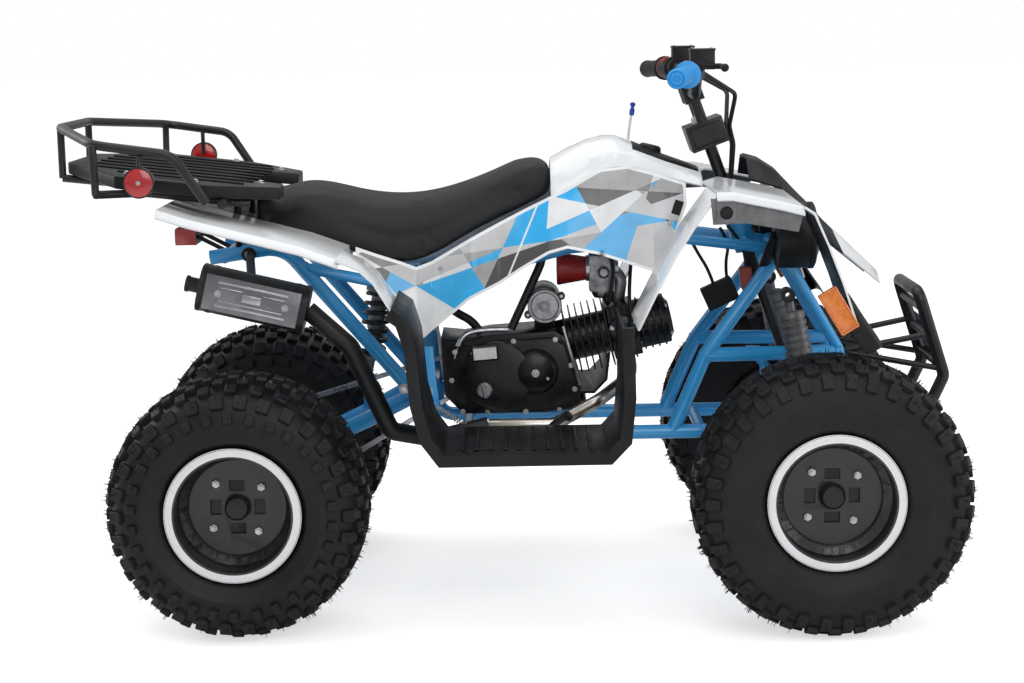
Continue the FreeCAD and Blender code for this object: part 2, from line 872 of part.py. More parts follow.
bar_end = bar_corners[-1]
inboard = (bar_corners[-2] - bar_end).normalize()
grip_end = bar_end - inboard * mm.grip_flange
grip = welded([
    rod(grip_end, bar_end + inboard * mm.grip_length, mm.grip_radius),
    rod(bar_end + inboard * (mm.grip_length - mm.grip_flange), bar_end + inboard * mm.grip_length,
        mm.grip_flange_radius),
]).cut(handlebar)
formed("grips", Part.makeCompound(both_sides(grip)))

switch_start = bar_end + inboard * (mm.grip_length + mm.running_gap)
switch_end = switch_start + inboard * mm.switch_width
switch = rod(switch_start, switch_end, mm.switch_radius)
perch_end = switch_end + inboard * mm.grip_radius
reservoir = Part.makeBox(
    mm.reservoir_length, mm.reservoir_width, mm.reservoir_height,
    switch_end + FreeCAD.Vector(-mm.bar_radius / 2, -mm.reservoir_width / 2, mm.bar_radius / 2))
perch = rod(switch_end, perch_end, mm.switch_radius * 0.8)
lever_root = switch_end + X_AXIS * (mm.reservoir_length * 0.6) + Z_AXIS * mm.bar_radius
lever_elbow = lever_root + Y_AXIS * (mm.switch_width / 2) + X_AXIS * mm.switch_radius
lever_tip = lever_elbow + Y_AXIS * mm.grip_length - X_AXIS * (mm.bar_radius / 2)
lever = welded([
    rod(lever_root - X_AXIS * (mm.reservoir_length * 0.6), lever_elbow, mm.lever_radius),
    Part.makeSphere(mm.lever_radius, lever_elbow),
    rod(lever_elbow, lever_tip, mm.lever_radius),
    Part.makeSphere(mm.lever_ball_radius, lever_tip),
])
controls = welded([switch, perch, reservoir, lever]).cut(handlebar)
formed("bar_controls", Part.makeCompound(both_sides(controls)))

cable_corners = [
    perch_end + X_AXIS * mm.switch_radius * 0.6,
    column_frame.multVec(FreeCAD.Vector(mm.stem_box_length, mm.bar_bend_side * 0.8, mm.column_top * 0.7)),
    column_frame.multVec(FreeCAD.Vector(mm.stem_box_length * 0.62, mm.riser_side, mm.stem_box_low)),
    column_frame.multVec(FreeCAD.Vector(mm.stem_box_length * 0.58, mm.riser_side / 2,
                                        -mm.stem_box_low * 2)),
    column_frame.multVec(FreeCAD.Vector(mm.column_radius, mm.column_radius / 2, -mm.column_top)),
]
cable = tube(cable_corners, mm.cable_radius, mm.bend_radius / 2)
formed("control_cables", Part.makeCompound(both_sides(coped(cable, [column, controls, handlebar]))))

# Tie rods: one above and one below the pitman on its pin, open at the knuckle studs

half_end = mm.rod_end_width / 2
for word, outward, lift in (("left", 1, mm.pitman_thickness + mm.rod_end_gap + half_end),
                            ("right", -1, -mm.running_gap - half_end)):
    inner = column_frame.multVec(pin_foot + Z_AXIS * lift)
    column_axis = column_turn.multVec(Z_AXIS)
    outer = point(wheel_x - arm_back, outward * mm.kingpin_side,
                  arm_low - mm.open_end_gap - half_end)
    half_axis = column_axis * half_end
    half_up = Z_AXIS * half_end
    tie_rod = welded([
        rod(inner - half_axis, inner + half_axis, mm.rod_end_radius),
        rod(inner, outer, mm.rod_radius),
        rod(outer - half_up, outer + half_up, mm.open_end_radius),
    ])
    tie_rod = tie_rod.cut([
        rod(inner - column_axis * mm.rod_end_width, inner + column_axis * mm.rod_end_width,
            mm.rod_pin_radius + mm.running_gap),
        rod(outer - Z_AXIS * mm.rod_end_width, outer + Z_AXIS * mm.rod_end_width,
            mm.rod_pin_radius + mm.moving_gap),
    ])
    formed(f"tie_rod_{word}", tie_rod)

# Frame: bent steel tubes, each coped onto the tubes it is welded to


def rail(corners, radius, bend_radius=mm.bend_radius):
    return tube([point(*corner) for corner in corners], radius, bend_radius)


side = mm.rail_side
lower_rail = rail([
    (mm.rail_rear_station, side, mm.diagonal_foot_height - mm.rail_radius),
    (mm.rail_rear_station, side, mm.rail_height),
    (mm.rail_front_station, side, mm.rail_height),
    (mm.nose_station, mm.nose_side, mm.nose_height),
], mm.rail_radius, mm.bend_radius / 2)
cross_stations = [mm.rail_rear_station + mm.bend_radius, mm.rail_front_station - mm.bend_radius]
crosses = [rod(point(x, -side, mm.rail_height), point(x, side, mm.rail_height), mm.brace_radius)
           for x in cross_stations]
nose_cross = rod(point(mm.nose_station, -mm.nose_side, mm.nose_height),
                 point(mm.nose_station, mm.nose_side, mm.nose_height), mm.rail_radius)
frame_lower = welded(both_sides(lower_rail) + crosses + [nose_cross])
formed("frame_lower", frame_lower)

tower_top = (mm.tower_station, mm.tower_side, mm.tower_height)
front_elbow = (mm.front_elbow_station, mm.tower_side, mm.front_elbow_height)
elbow = (mm.elbow_station, mm.rail_side, mm.elbow_height)
diagonal_foot = (mm.elbow_station - mm.bend_radius, mm.rail_side, mm.rail_height)
front_leg = rail([tower_top, front_elbow, (mm.nose_station, mm.nose_side, mm.nose_height)], mm.brace_radius)
rear_leg = rail([tower_top, elbow, diagonal_foot], mm.rail_radius)
shelf = rod(point(*elbow), point(*front_elbow), mm.rail_radius)
tower_cross = rod(point(mm.tower_station, -mm.tower_side, mm.tower_height),
                  point(mm.tower_station, mm.tower_side, mm.tower_height), mm.rail_radius)
frame_front = welded(both_sides(front_leg) + both_sides(rear_leg) + both_sides(shelf) + [tower_cross])
frame_front = coped(frame_front, [frame_lower])
formed("frame_front", frame_front)

seat_rail = rail([
    (mm.diagonal_foot_station, side, mm.diagonal_foot_height),
    (mm.seat_rail_station, side, mm.seat_rail_height),
    (mm.tail_station, side, mm.tail_height),
], mm.rail_radius)
pivot_corners = [
    (mm.pivot_station - mm.pivot_sleeve_radius * 2, mm.pivot_height + mm.bend_radius * 1.4),
    (mm.pivot_station + mm.rail_radius, mm.pivot_height + mm.bend_radius * 1.4),
    (mm.rail_rear_station + mm.rail_radius, mm.rail_height + mm.bend_radius / 2),
    (mm.pivot_station - mm.pivot_sleeve_radius, mm.rail_height + mm.bend_radius / 2),
    (mm.pivot_station - mm.pivot_sleeve_radius * 2, mm.pivot_height),
]
pivot_plate = plate_between(pivot_corners, side - mm.plate_thickness / 2, mm.plate_thickness)
pivot_tube = rod(point(mm.pivot_station, -side, mm.pivot_height),
                 point(mm.pivot_station, side, mm.pivot_height), mm.pivot_bolt_radius)
tail_cross = rod(point(mm.tail_station + mm.rail_radius * 2, -side - mm.overrun, mm.tail_height),
                 point(mm.tail_station + mm.rail_radius * 2, side + mm.overrun,
                       mm.tail_height), mm.brace_radius)
shock_cross = rod(point(mm.shock_top_station, -side - mm.overrun, mm.shock_top_height),
                  point(mm.shock_top_station, side + mm.overrun, mm.shock_top_height), mm.pivot_bolt_radius)
seat_rail_run = point(mm.seat_rail_station - mm.diagonal_foot_station, 0,
                      mm.seat_rail_height - mm.diagonal_foot_height)
shock_stay = rod(point(mm.shock_top_station, side, mm.shock_top_height),
                 point(mm.diagonal_foot_station, side, mm.diagonal_foot_height)
                 + seat_rail_run * mm.shock_stay_share, mm.brace_radius)
frame_rear = welded(both_sides(seat_rail) + both_sides(pivot_plate) + both_sides(shock_stay)
                    + [pivot_tube, tail_cross, shock_cross])
frame_rear = coped(frame_rear, [frame_lower])
formed("frame_rear", frame_rear)

top_side = mm.top_rail_side
top_rail = rail([
    (mm.tower_station, top_side, mm.tower_height),
    (mm.column_station - mm.bend_radius, top_side, mm.seat_rail_height),
    (mm.carb_station - mm.bend_radius, top_side, mm.seat_rail_height - mm.bend_radius / 4),
    (mm.engine_width * 2, top_side, mm.shock_top_height + mm.rail_radius),
    (mm.shock_top_station + mm.bend_radius * 1.2, mm.rail_side, mm.shock_top_height),
    (mm.shock_top_station, mm.rail_side, mm.shock_top_height),
], mm.brace_radius)
column_station_at = mm.column_station + (mm.column_height - mm.seat_rail_height) * math.tan(
    math.radians(mm.column_lean))
column_cross = rod(point(column_station_at, -top_side, mm.seat_rail_height - mm.rail_radius),
                   point(column_station_at, top_side,
                         mm.seat_rail_height - mm.rail_radius), mm.brace_radius)
bearing = Part.makeCylinder(mm.column_radius * 2, mm.bend_radius, Z_AXIS * -mm.bend_radius * 3.6)
bearing.Placement = column_frame.multiply(bearing.Placement)
column_bore = Part.makeCylinder(mm.column_radius + mm.running_gap, mm.column_foot * 2,
                                Z_AXIS * -mm.column_foot)
column_bore.Placement = column_frame
backbone_cross = rod(point(mm.carb_station - mm.bend_radius, -top_side,
                           mm.seat_rail_height - mm.bend_radius / 4),
                     point(mm.carb_station - mm.bend_radius, top_side,
                           mm.seat_rail_height - mm.bend_radius / 4),
                     mm.brace_radius)
frame_upper = welded(both_sides(top_rail) + [column_cross, backbone_cross, bearing]).cut(column_bore)
frame_upper = coped(frame_upper, [frame_front, frame_rear])
formed("frame_upper", frame_upper)

# Swing arm with the axle carrier, the rear shock, the brake caliper and the chain

axle_z = mm.rear_tyre_radius
carrier = rod(point(0, -mm.carrier_width / 2, axle_z), point(0, mm.carrier_width / 2, axle_z),
              mm.carrier_radius)
arm = rail([
    (mm.pivot_station, mm.arm_side + mm.arm_radius * 0.75, mm.pivot_height),
    (mm.shock_bottom_station, mm.arm_side, mm.pivot_height - mm.bend_radius),
    (0, mm.arm_side - mm.arm_radius, axle_z),
], mm.arm_radius)
pivot_sleeve = rod(point(mm.pivot_station, -mm.arm_side - mm.arm_radius * 2, mm.pivot_height),
                   point(mm.pivot_station, mm.arm_side + mm.arm_radius * 2, mm.pivot_height),
                   mm.pivot_sleeve_radius)
arm_cross = rod(point(mm.shock_bottom_station, -mm.arm_side, mm.pivot_height - mm.bend_radius),
                point(mm.shock_bottom_station, mm.arm_side,
                      mm.pivot_height - mm.bend_radius), mm.arm_radius)
shock_foot = point(mm.shock_bottom_station, 0, mm.shock_bottom_height)
shock_lug = Part.makeBox(mm.shock_eye_radius, mm.shock_eye_width,
                         mm.shock_bottom_height - mm.pivot_height + mm.bend_radius,
                         point(mm.shock_bottom_station, 0, mm.pivot_height - mm.bend_radius)
                         - FreeCAD.Vector(mm.shock_eye_radius / 2, mm.shock_eye_width / 2, 0))
swing_arm = welded(both_sides(arm) + [carrier, pivot_sleeve, arm_cross, shock_lug])
swing_arm = swing_arm.cut([
    rod(point(0, -mm.rear_track, axle_z), point(0, mm.rear_track, axle_z), mm.axle_radius + mm.running_gap),
    frame_rear,
])


def shock(top, foot, eye_radius, eye_width, sleeve_radius, sleeve_length, rod_radius):
    down = (foot - top).normalize()
    start = top + down * (eye_radius + rod_radius)
    return welded([
        rod(top - Y_AXIS * (eye_width / 2), top + Y_AXIS * (eye_width / 2), eye_radius),
        rod(foot - Y_AXIS * (eye_width / 2), foot + Y_AXIS * (eye_width / 2), eye_radius),
        rod(top, foot, rod_radius),
        rod(start, start + down * sleeve_length, sleeve_radius),
    ])


rear_shock = shock(point(mm.shock_top_station, 0, mm.shock_top_height), shock_foot, mm.shock_eye_radius,
                   mm.shock_eye_width, mm.rear_spring_radius, mm.bend_radius * 2.2, mm.front_rod_radius)
rear_shock = coped(rear_shock, [frame_rear])
formed("rear_shock", rear_shock)
swing_arm = coped(swing_arm, [rear_shock])
formed("swing_arm", swing_arm)

caliper = Part.makeBox(mm.caliper_length, mm.caliper_width, mm.caliper_height,
                       point(-mm.caliper_length / 2, -mm.disc_side - mm.caliper_width / 2,
                             axle_z + mm.disc_radius - mm.caliper_height / 2))
disc_slot = rod(point(0, -mm.disc_side - mm.disc_thickness / 2 - mm.moving_gap, axle_z),
                point(0, -mm.disc_side + mm.disc_thickness / 2 + mm.moving_gap, axle_z),
                mm.disc_radius + mm.moving_gap)
caliper_stay = plate_between([
    (-mm.caliper_length / 2, axle_z + mm.carrier_radius - mm.plate_thickness),
    (mm.caliper_length / 2, axle_z + mm.carrier_radius - mm.plate_thickness),
    (mm.caliper_length / 2, axle_z + mm.disc_radius + mm.caliper_height / 2),
    (-mm.caliper_length / 2, axle_z + mm.disc_radius + mm.caliper_height / 2),
], -mm.disc_side + mm.caliper_width / 2, mm.plate_thickness)
caliper_foot = Part.makeBox(mm.caliper_length, mm.carrier_width / 2, mm.plate_thickness * 2,
                            point(-mm.caliper_length / 2, -mm.disc_side + mm.caliper_width / 2,
                                  axle_z + mm.carrier_radius - mm.plate_thickness))
rear_caliper = coped(welded([caliper.cut(disc_slot), caliper_stay, caliper_foot]), [swing_arm])
formed("rear_caliper", rear_caliper)


def loop_wire(front, rear, side):
    (front_x, front_z, front_radius), (rear_x, rear_z, rear_radius) = front, rear
    reach = math.hypot(front_x - rear_x, front_z - rear_z)
    slope = math.atan2(front_z - rear_z, front_x - rear_x)
    spread = math.acos((rear_radius - front_radius) / reach)

    def on_circle(centre_x, centre_z, radius, angle):
        return point(centre_x + radius * math.cos(angle), side, centre_z + radius * math.sin(angle))

    high, low = slope + spread, slope - spread
    rear_high, rear_low = (on_circle(rear_x, rear_z, rear_radius, angle) for angle in (high, low))
    front_high, front_low = (on_circle(front_x, front_z, front_radius, angle) for angle in (high, low))
    rear_far = on_circle(rear_x, rear_z, rear_radius, slope + math.pi)
    front_far = on_circle(front_x, front_z, front_radius, slope)
    return Part.Wire([
        Part.Arc(rear_high, rear_far, rear_low).toShape(),
        Part.LineSegment(rear_low, front_low).toShape(),
        Part.Arc(front_low, front_far, front_high).toShape(),
        Part.LineSegment(front_high, rear_high).toShape(),
    ])


# Front suspension: two wishbones a side with ball joint housings, and the front shocks

upper_ball = point(wheel_x, mm.kingpin_side, mm.kingpin_top - mm.ball_joint_length / 2)
lower_ball = point(wheel_x, mm.kingpin_side, mm.kingpin_bottom + mm.ball_joint_length / 2)
front_shock_top = point(mm.front_shock_top_station, mm.front_shock_top_side, mm.front_shock_top_height)
shock_seat_reach = (mm.front_shock_foot_side - mm.lower_pivot_side) / (mm.kingpin_side
                                                                       - mm.lower_pivot_side)
shock_seat_height = mm.lower_pivot_height + (lower_ball.z - mm.lower_pivot_height) * shock_seat_reach
front_shock_foot = point(wheel_x + mm.front_shock_foot_ahead, mm.front_shock_foot_side,
                         shock_seat_height + mm.shock_eye_radius)
front_shock = shock(front_shock_top, front_shock_foot, mm.shock_eye_radius, mm.shock_eye_width,
                    mm.front_sleeve_radius, mm.front_sleeve_length, mm.front_rod_radius)


def wishbone(ball, pivot_side, pivot_height, back, ahead, seat_reach=0):
    pieces = [rod(ball - Z_AXIS * (mm.ball_joint_length / 2), ball + Z_AXIS * (mm.ball_joint_length / 2),
                  mm.ball_joint_radius)]
    for offset in (-back, ahead):
        pivot = point(wheel_x + offset, pivot_side, pivot_height)
        pieces.append(rod(pivot, ball, mm.arm_tube_radius))
        pieces.append(rod(pivot - X_AXIS * mm.shock_eye_width / 2, pivot + X_AXIS * mm.shock_eye_width / 2,
                          mm.shock_eye_radius))
    if seat_reach:
        seats = [point(wheel_x + offset, pivot_side, pivot_height) for offset in (-back, ahead)]
        pieces.append(rod(*[seat + (ball - seat) * seat_reach for seat in seats], mm.seat_tube_radius))
    return welded(pieces).cut(rod(ball - Z_AXIS * mm.bend_radius, ball + Z_AXIS * mm.bend_radius,
                                  mm.kingpin_radius + mm.running_gap))


upper_arm = wishbone(upper_ball, mm.upper_pivot_side, mm.upper_pivot_height, mm.upper_arm_back,
                     mm.upper_arm_ahead)
lower_arm = wishbone(lower_ball, mm.lower_pivot_side, mm.lower_pivot_height, mm.lower_arm_back,
                     mm.lower_arm_ahead, shock_seat_reach)
frame_tubes = [frame_front, frame_lower]
upper_arm = coped(upper_arm, frame_tubes)
lower_arm = coped(lower_arm, frame_tubes)
formed("upper_arms", Part.makeCompound(both_sides(upper_arm)))
formed("lower_arms", Part.makeCompound(both_sides(lower_arm)))
front_shock = coped(front_shock, [frame_front, lower_arm])
formed("front_shocks", Part.makeCompound(both_sides(front_shock)))

# Engine: horizontal single in a cast case, open to view, finned barrel and head leaning forward

case_outline_shares = [(0.0, 0.93), (0.16, 0.90), (0.35, 0.95), (0.82, 1.0), (0.91, 0.90), (1.0, 0.39),
                       (0.99, 0.05), (0.74, 0.0), (0.15, 0.0), (0.02, 0.23)]
core_half = size.engine_width * 0.36
cover_half = size.engine_width * 0.46


def case_corners(margin=0):
    length = size.case_length - margin * 2
    height = size.case_height - margin * 2
    return [(size.case_rear_station + margin + length * along, size.case_bottom + margin + height * up)
            for along, up in case_outline_shares]


case = new_body("engine_case")
core = sketch_on(case, "XZ_Plane")
outline(core, case_corners())
pad(case, core, core_half * 2, both_ways=True)
for offset, backward in ((core_half, False), (-core_half, True)):
    cover = sketch_on(case, "XZ_Plane", offset)
    outline(cover, case_corners(size.case_edge))
    pad(case, cover, cover_half - core_half, backward=backward)
    boss = sketch_on(case, "XZ_Plane",
                     offset + (core_half - cover_half if backward else cover_half - core_half))
    circle(boss, size.case_rear_station + size.case_length * 0.4, size.case_bottom + size.case_height / 2,
           size.clutch_cover_radius)
    pad(case, boss, size.clutch_cover_depth, backward=backward)
set_over_middle(case)

engine_sprocket = (mm.case_rear_station + mm.drive_sprocket_radius * 1.6, mm.drive_sprocket_height)
link_inner = mm.moving_gap
link_outer = mm.moving_gap + mm.chain_height
chain_side = mm.sprocket_side - mm.chain_width / 2
chain = None
for gap, keep in ((link_outer, True), (link_inner, False)):
    wire = loop_wire((*engine_sprocket, mm.drive_sprocket_radius + gap),
                     (0, axle_z, mm.sprocket_radius + gap),
                     chain_side)
    loop = Part.Face(wire).extrude(Y_AXIS * mm.chain_width)
    chain = loop if keep else chain.cut(loop)
formed("drive_chain", coped(chain, [in_stations(case)]))


def along_cylinder(body, offset=0):
    turn = math.radians(mm.cylinder_lean)
    lean = size.cylinder_lean
    along = Size(math.cos(turn), f"cos({lean.words} * 1 deg)")
    rise = Size(math.sin(turn), f"sin({lean.words} * 1 deg)")
    body.Placement.Rotation = FreeCAD.Rotation(Y_AXIS, -mm.cylinder_lean)
    return (size.cylinder_station + along * offset, 0, size.cylinder_height + rise * offset)


barrel_body = new_body("barrel")
round_core = sketch_on(barrel_body, "YZ_Plane", -size.case_edge * 3)
circle(round_core, 0, 0, size.barrel_radius)
pad(barrel_body, round_core, size.barrel_length + size.case_edge * 3)
fin_sketch = sketch_on(barrel_body, "YZ_Plane", size.fin_pitch / 2)
rectangle(fin_sketch, -size.fin_width / 2, size.fin_width / 2, -size.fin_height / 2, size.fin_height / 2)
fin = pad(barrel_body, fin_sketch, size.fin_thickness)
fins = barrel_body.newObject("PartDesign::LinearPattern", "fins")
fins.Originals = [fin]
fins.Direction = (fin_sketch, ["N_Axis"])
fins.setExpression("Length", (size.fin_pitch * (size.fin_count - 1)).words)
fins.setExpression("Occurrences", size.fin_count.words)
barrel_body.Tip = fins
moved_over_middle(barrel_body, *along_cylinder(barrel_body))
cylinder = trimmed("engine_cylinder", barrel_body, [case])

head = new_body("engine_head")
block = sketch_on(head, "YZ_Plane")
rectangle(block, -size.head_width / 2, size.head_width / 2, -size.head_height / 2, size.head_height / 2)
pad(head, block, size.head_length)
cap = sketch_on(head, "YZ_Plane", size.head_length)
circle(cap, 0, 0, size.cover_radius)
pad(head, cap, size.cover_length)
set_over_middle(head, *along_cylinder(head, size.barrel_length))

starter = new_body("starter_body")
profile = sketch_on(starter, "XZ_Plane", -size.starter_length / 2)
circle(profile, 0, 0, size.starter_radius)
pad(starter, profile, size.starter_length)
nose = sketch_on(starter, "XZ_Plane", size.starter_length / 2)
circle(nose, 0, 0, size.starter_radius * 0.7)
pad(starter, nose, size.case_edge)
foot = sketch_on(starter, "XZ_Plane")
rectangle(foot, -size.starter_radius * 0.6, size.starter_radius * 0.6,
          -size.starter_radius - size.starter_foot, 0)
pad(starter, foot, size.starter_length / 2, both_ways=True)
moved_over_middle(starter, size.starter_station, 0,
                  size.case_bottom + size.case_height * 0.985 + size.starter_radius + size.starter_foot)
trimmed("starter_motor", starter, [case, cylinder])

# Carburettor with its inlet elbow, and the cone filter behind it

lean = math.radians(mm.cylinder_lean)
head_middle = point(mm.cylinder_station, 0, mm.cylinder_height) + FreeCAD.Vector(
    math.cos(lean), 0, math.sin(lean)) * (mm.barrel_length + mm.head_length / 2)
head_port = head_middle + FreeCAD.Vector(-math.sin(lean), 0, math.cos(lean)) * (mm.head_height / 2)
carb_middle = point(mm.carb_station, 0, mm.carb_height)
elbow_pipe = tube([
    head_port,
    head_port + Z_AXIS * (mm.inlet_radius * 3.4) + X_AXIS * mm.inlet_radius / 2,
    carb_middle + X_AXIS * (mm.carb_length / 2 - mm.inlet_radius / 2),
], mm.inlet_radius, mm.inlet_radius * 1.6)
carb_body = Part.makeBox(mm.carb_length, mm.carb_width, mm.carb_body_height,
                         carb_middle - FreeCAD.Vector(mm.carb_length / 2, mm.carb_width / 2,
                                                      mm.carb_body_height * 0.62))
formed("carburettor", coped(welded([carb_body, elbow_pipe]), [in_stations(head)]))
filter_start = carb_middle - X_AXIS * (mm.carb_length / 2)
formed("air_filter", Part.makeCone(mm.inlet_radius * 1.6, mm.filter_radius, mm.filter_length, filter_start,
                                   -X_AXIS))

# Exhaust: bright header under the head, black pipe round to the right, silencer over the wheel

header_start = head_middle - FreeCAD.Vector(-math.sin(lean), 0, math.cos(lean)) * (mm.head_height / 2)
header_side = -mm.engine_width / 2 - mm.header_radius * 2.3
header_end = point(mm.case_rear_station + mm.case_length / 3, header_side,
                   mm.case_bottom - mm.header_radius)
header = tube([
    header_start,
    header_start - Z_AXIS * (mm.header_radius * 3.6) + X_AXIS * mm.header_radius / 2,
    point(mm.case_rear_station + mm.case_length * 1.12, header_side,
          mm.case_bottom + mm.header_radius * 2.6),
    point(mm.case_rear_station + mm.case_length * 0.8, header_side, mm.case_bottom - mm.header_radius),
    header_end,
], mm.header_radius, mm.header_radius * 2)
formed("exhaust_header", coped(header, [in_stations(head)]))

silencer_turn = FreeCAD.Rotation(Y_AXIS, mm.silencer_lean)
silencer_front = point(mm.silencer_front_station, -mm.silencer_side, mm.silencer_front_height)
pipe_path = [
    header_end,
    point(mm.pivot_station + mm.pipe_radius, header_side, mm.rail_height),
    point(mm.pivot_station - mm.bend_radius, -mm.silencer_side * 0.82, mm.rail_height + mm.bend_radius / 2),
    point(mm.silencer_front_station + mm.bend_radius * 1.2, -mm.silencer_side,
          mm.silencer_front_height - mm.bend_radius * 1.1),
    silencer_front,
]
exhaust_pipe = tube(pipe_path, mm.pipe_radius, mm.bend_radius / 2)

silencer_body = Part.makeBox(mm.silencer_length, mm.silencer_width, mm.silencer_height,
                             FreeCAD.Vector(-mm.silencer_length, -mm.silencer_width / 2,
                                            -mm.silencer_height / 2))
long_edges = [edge for edge in silencer_body.Edges if edge.Length == mm.silencer_length]
silencer_body = silencer_body.makeFillet(mm.silencer_width * 0.36, long_edges)
outlet = Part.makeCylinder(mm.outlet_radius, mm.outlet_length, X_AXIS * -mm.silencer_length, -X_AXIS)
silencer = welded([silencer_body, outlet])
silencer.Placement = FreeCAD.Placement(silencer_front, silencer_turn)
stay_foot = point(mm.seat_rail_station - mm.bend_radius, -mm.rail_side,
                  mm.seat_rail_height - mm.rail_radius / 2)
stay_end = silencer_front + FreeCAD.Vector(-mm.silencer_length / 2, 0, mm.silencer_height * 0.6)
silencer = welded([silencer, rod(stay_end, stay_foot, mm.header_radius / 1.5)])
silencer = coped(silencer, [frame_rear])
formed("silencer", silencer)
formed("exhaust_pipe", coped(exhaust_pipe, [silencer, header, frame_lower]))

shield = Part.makeBox(mm.shield_length, mm.shield_thickness, mm.shield_height,
                      FreeCAD.Vector(-mm.silencer_length + (mm.silencer_length - mm.shield_length) / 2,
                                     -mm.silencer_width / 2 - mm.shield_thickness, -mm.shield_height / 2))
shield.Placement = FreeCAD.Placement(silencer_front, silencer_turn)
formed("silencer_shield", coped(shield, [silencer]))

# Rack rail: bent tube on posts that stand on the rear frame


def rack_points(foot_side):
    half = [
        point(mm.rack_foot_station, foot_side * mm.rack_foot_side, mm.rack_foot_height),
        point(mm.rack_bend_station, foot_side * mm.rack_bend_side, mm.rack_bend_height),
        point(mm.rack_corner_station, foot_side * mm.rack_corner_side, mm.rack_corner_height),
        point(mm.rack_bar_station, foot_side * mm.rack_bar_side, mm.rack_bar_height),
    ]
    return half


rail_loop = tube(rack_points(-1) + rack_points(1)[::-1], mm.rack_tube_radius, mm.rack_corner_radius)


def deck_height(station):
    fall = (mm.deck_rear_height - mm.deck_front_height) / (mm.deck_front_station - mm.deck_rear_station)
    return mm.deck_rear_height - fall * (station - mm.deck_rear_station)


under = mm.deck_thickness + mm.rack_tube_radius
post_near = rod(point(mm.rack_corner_station, mm.rack_corner_side, mm.rack_corner_height),
                point(mm.rack_corner_station, mm.rack_corner_side - mm.rack_tube_radius,
                      deck_height(mm.rack_corner_station) - under), mm.rack_post_radius)
runner = tube([
    point(mm.rack_corner_station, mm.rack_corner_side - mm.rack_tube_radius,
          deck_height(mm.rack_corner_station) - under),
    point(mm.rack_corner_station + mm.bend_radius, mm.deck_half_width - mm.bend_radius,
          deck_height(mm.rack_corner_station + mm.bend_radius) - under),
    point(mm.rack_foot_station + mm.bend_radius, mm.deck_half_width - mm.bend_radius,
          deck_height(mm.rack_foot_station + mm.bend_radius) - under),
], mm.rack_runner_radius, mm.rack_corner_radius / 2)
post_foot_x = mm.tail_station + mm.rail_radius * 4
rack_post = rod(point(post_foot_x, mm.rail_side, mm.tail_height),
                point(post_foot_x, mm.rail_side, deck_height(post_foot_x) - under), mm.rack_post_radius)
rack_cross = rod(point(post_foot_x, -mm.deck_half_width, deck_height(post_foot_x) - under),
                 point(post_foot_x, mm.deck_half_width,
                       deck_height(post_foot_x) - under), mm.rack_tube_radius)
rear_foot = point(mm.rack_bar_station, mm.rack_bar_side, deck_height(mm.rack_bar_station) - under)
rear_post = rod(point(mm.rack_bar_station, mm.rack_bar_side, mm.rack_bar_height), rear_foot,
                mm.rack_post_radius)
rear_runner = rod(rear_foot, point(post_foot_x, mm.rail_side, deck_height(post_foot_x) - under),
                  mm.rack_runner_radius)
rack_rail = welded([rail_loop, rack_cross] + both_sides(post_near) + both_sides(runner)
                   + both_sides(rack_post) + both_sides(rear_post) + both_sides(rear_runner))
rack_rail = coped(rack_rail, [frame_rear])
formed("rack_rail", rack_rail)

# Body skins: seat, side panels, tank cover, fenders and cowl, as thin closed sheets


def sheet_ring(path, thickness):
    """Close a sheet of even thickness on the right-hand side of an open run of (across, up) points."""
    far_side = []
    for index, (across, up) in enumerate(path):
        normals = []
        for first, second in zip(path[max(index - 1, 0):index + 1], path[max(index, 1):index + 2]):
            run, rise = second[0] - first[0], second[1] - first[1]
            reach = math.hypot(run, rise)
            normals.append((rise / reach, -run / reach))
        mean_x = sum(normal[0] for normal in normals) / len(normals)
        mean_z = sum(normal[1] for normal in normals) / len(normals)
        spread = mean_x ** 2 + mean_z ** 2
        far_side.append((across + thickness * mean_x / spread, up + thickness * mean_z / spread))
    return list(path) + far_side[::-1]


def strip(path, inner_side, outer_side, thickness):
    ring = [FreeCAD.Vector(x, inner_side, z) for x, z in sheet_ring(path, thickness)]
    return Part.Face(Part.makePolygon(ring + ring[:1])).extrude(Y_AXIS * (outer_side - inner_side))


def body_rows(share_rows, widths=0):
    """Turn rows of shares into sizes: a station first, then heights, then as many widths as asked."""
    rows = []
    for shares in share_rows:
        heights = len(shares) - widths - 1
        scales = [mm.body_length] + [mm.body_height] * heights + [mm.body_width] * widths
        rows.append(tuple(share * scale for share, scale in zip(shares, scales)))
    return rows


def skin_ring(station, profile, thickness):
    return [point(station, across, up) for across, up in sheet_ring(profile, thickness)]


fender_row_shares = [
    (-0.0890, 0.8911), (-0.0477, 0.8708), (0.0000, 0.8517), (0.0509, 0.8313), (0.0994, 0.8122),
    (0.1510, 0.7835),
]
fender_rows = body_rows(fender_row_shares)
shelf_sections = []
for x, z in fender_rows:
    half = [(mm.seat_half_width, z - mm.fender_dip), (mm.seat_half_width + mm.fender_dip, z),
            (mm.rear_fender_side - mm.fender_lip, z), (mm.rear_fender_side, z - mm.fender_lip)]
    profile = [(-across, up) for across, up in reversed(half)] + half
    shelf_sections.append(skin_ring(x, profile, mm.skin))
rear_shelf = lofted(shelf_sections, smooth=False)
rear_leg_shares = [
    (0.1479, 0.7859), (0.1789, 0.7656), (0.1987, 0.7380), (0.2194, 0.6854), (0.2297, 0.6435),
    (0.2401, 0.6077),
]
leg_path = body_rows(rear_leg_shares)
rear_leg_sheet = strip(leg_path, mm.rear_fender_inner_side, mm.rear_fender_side, mm.skin)
rear_fender = coped(welded([rear_shelf] + both_sides(rear_leg_sheet)), [rack_rail])
formed("rear_fender", rear_fender)

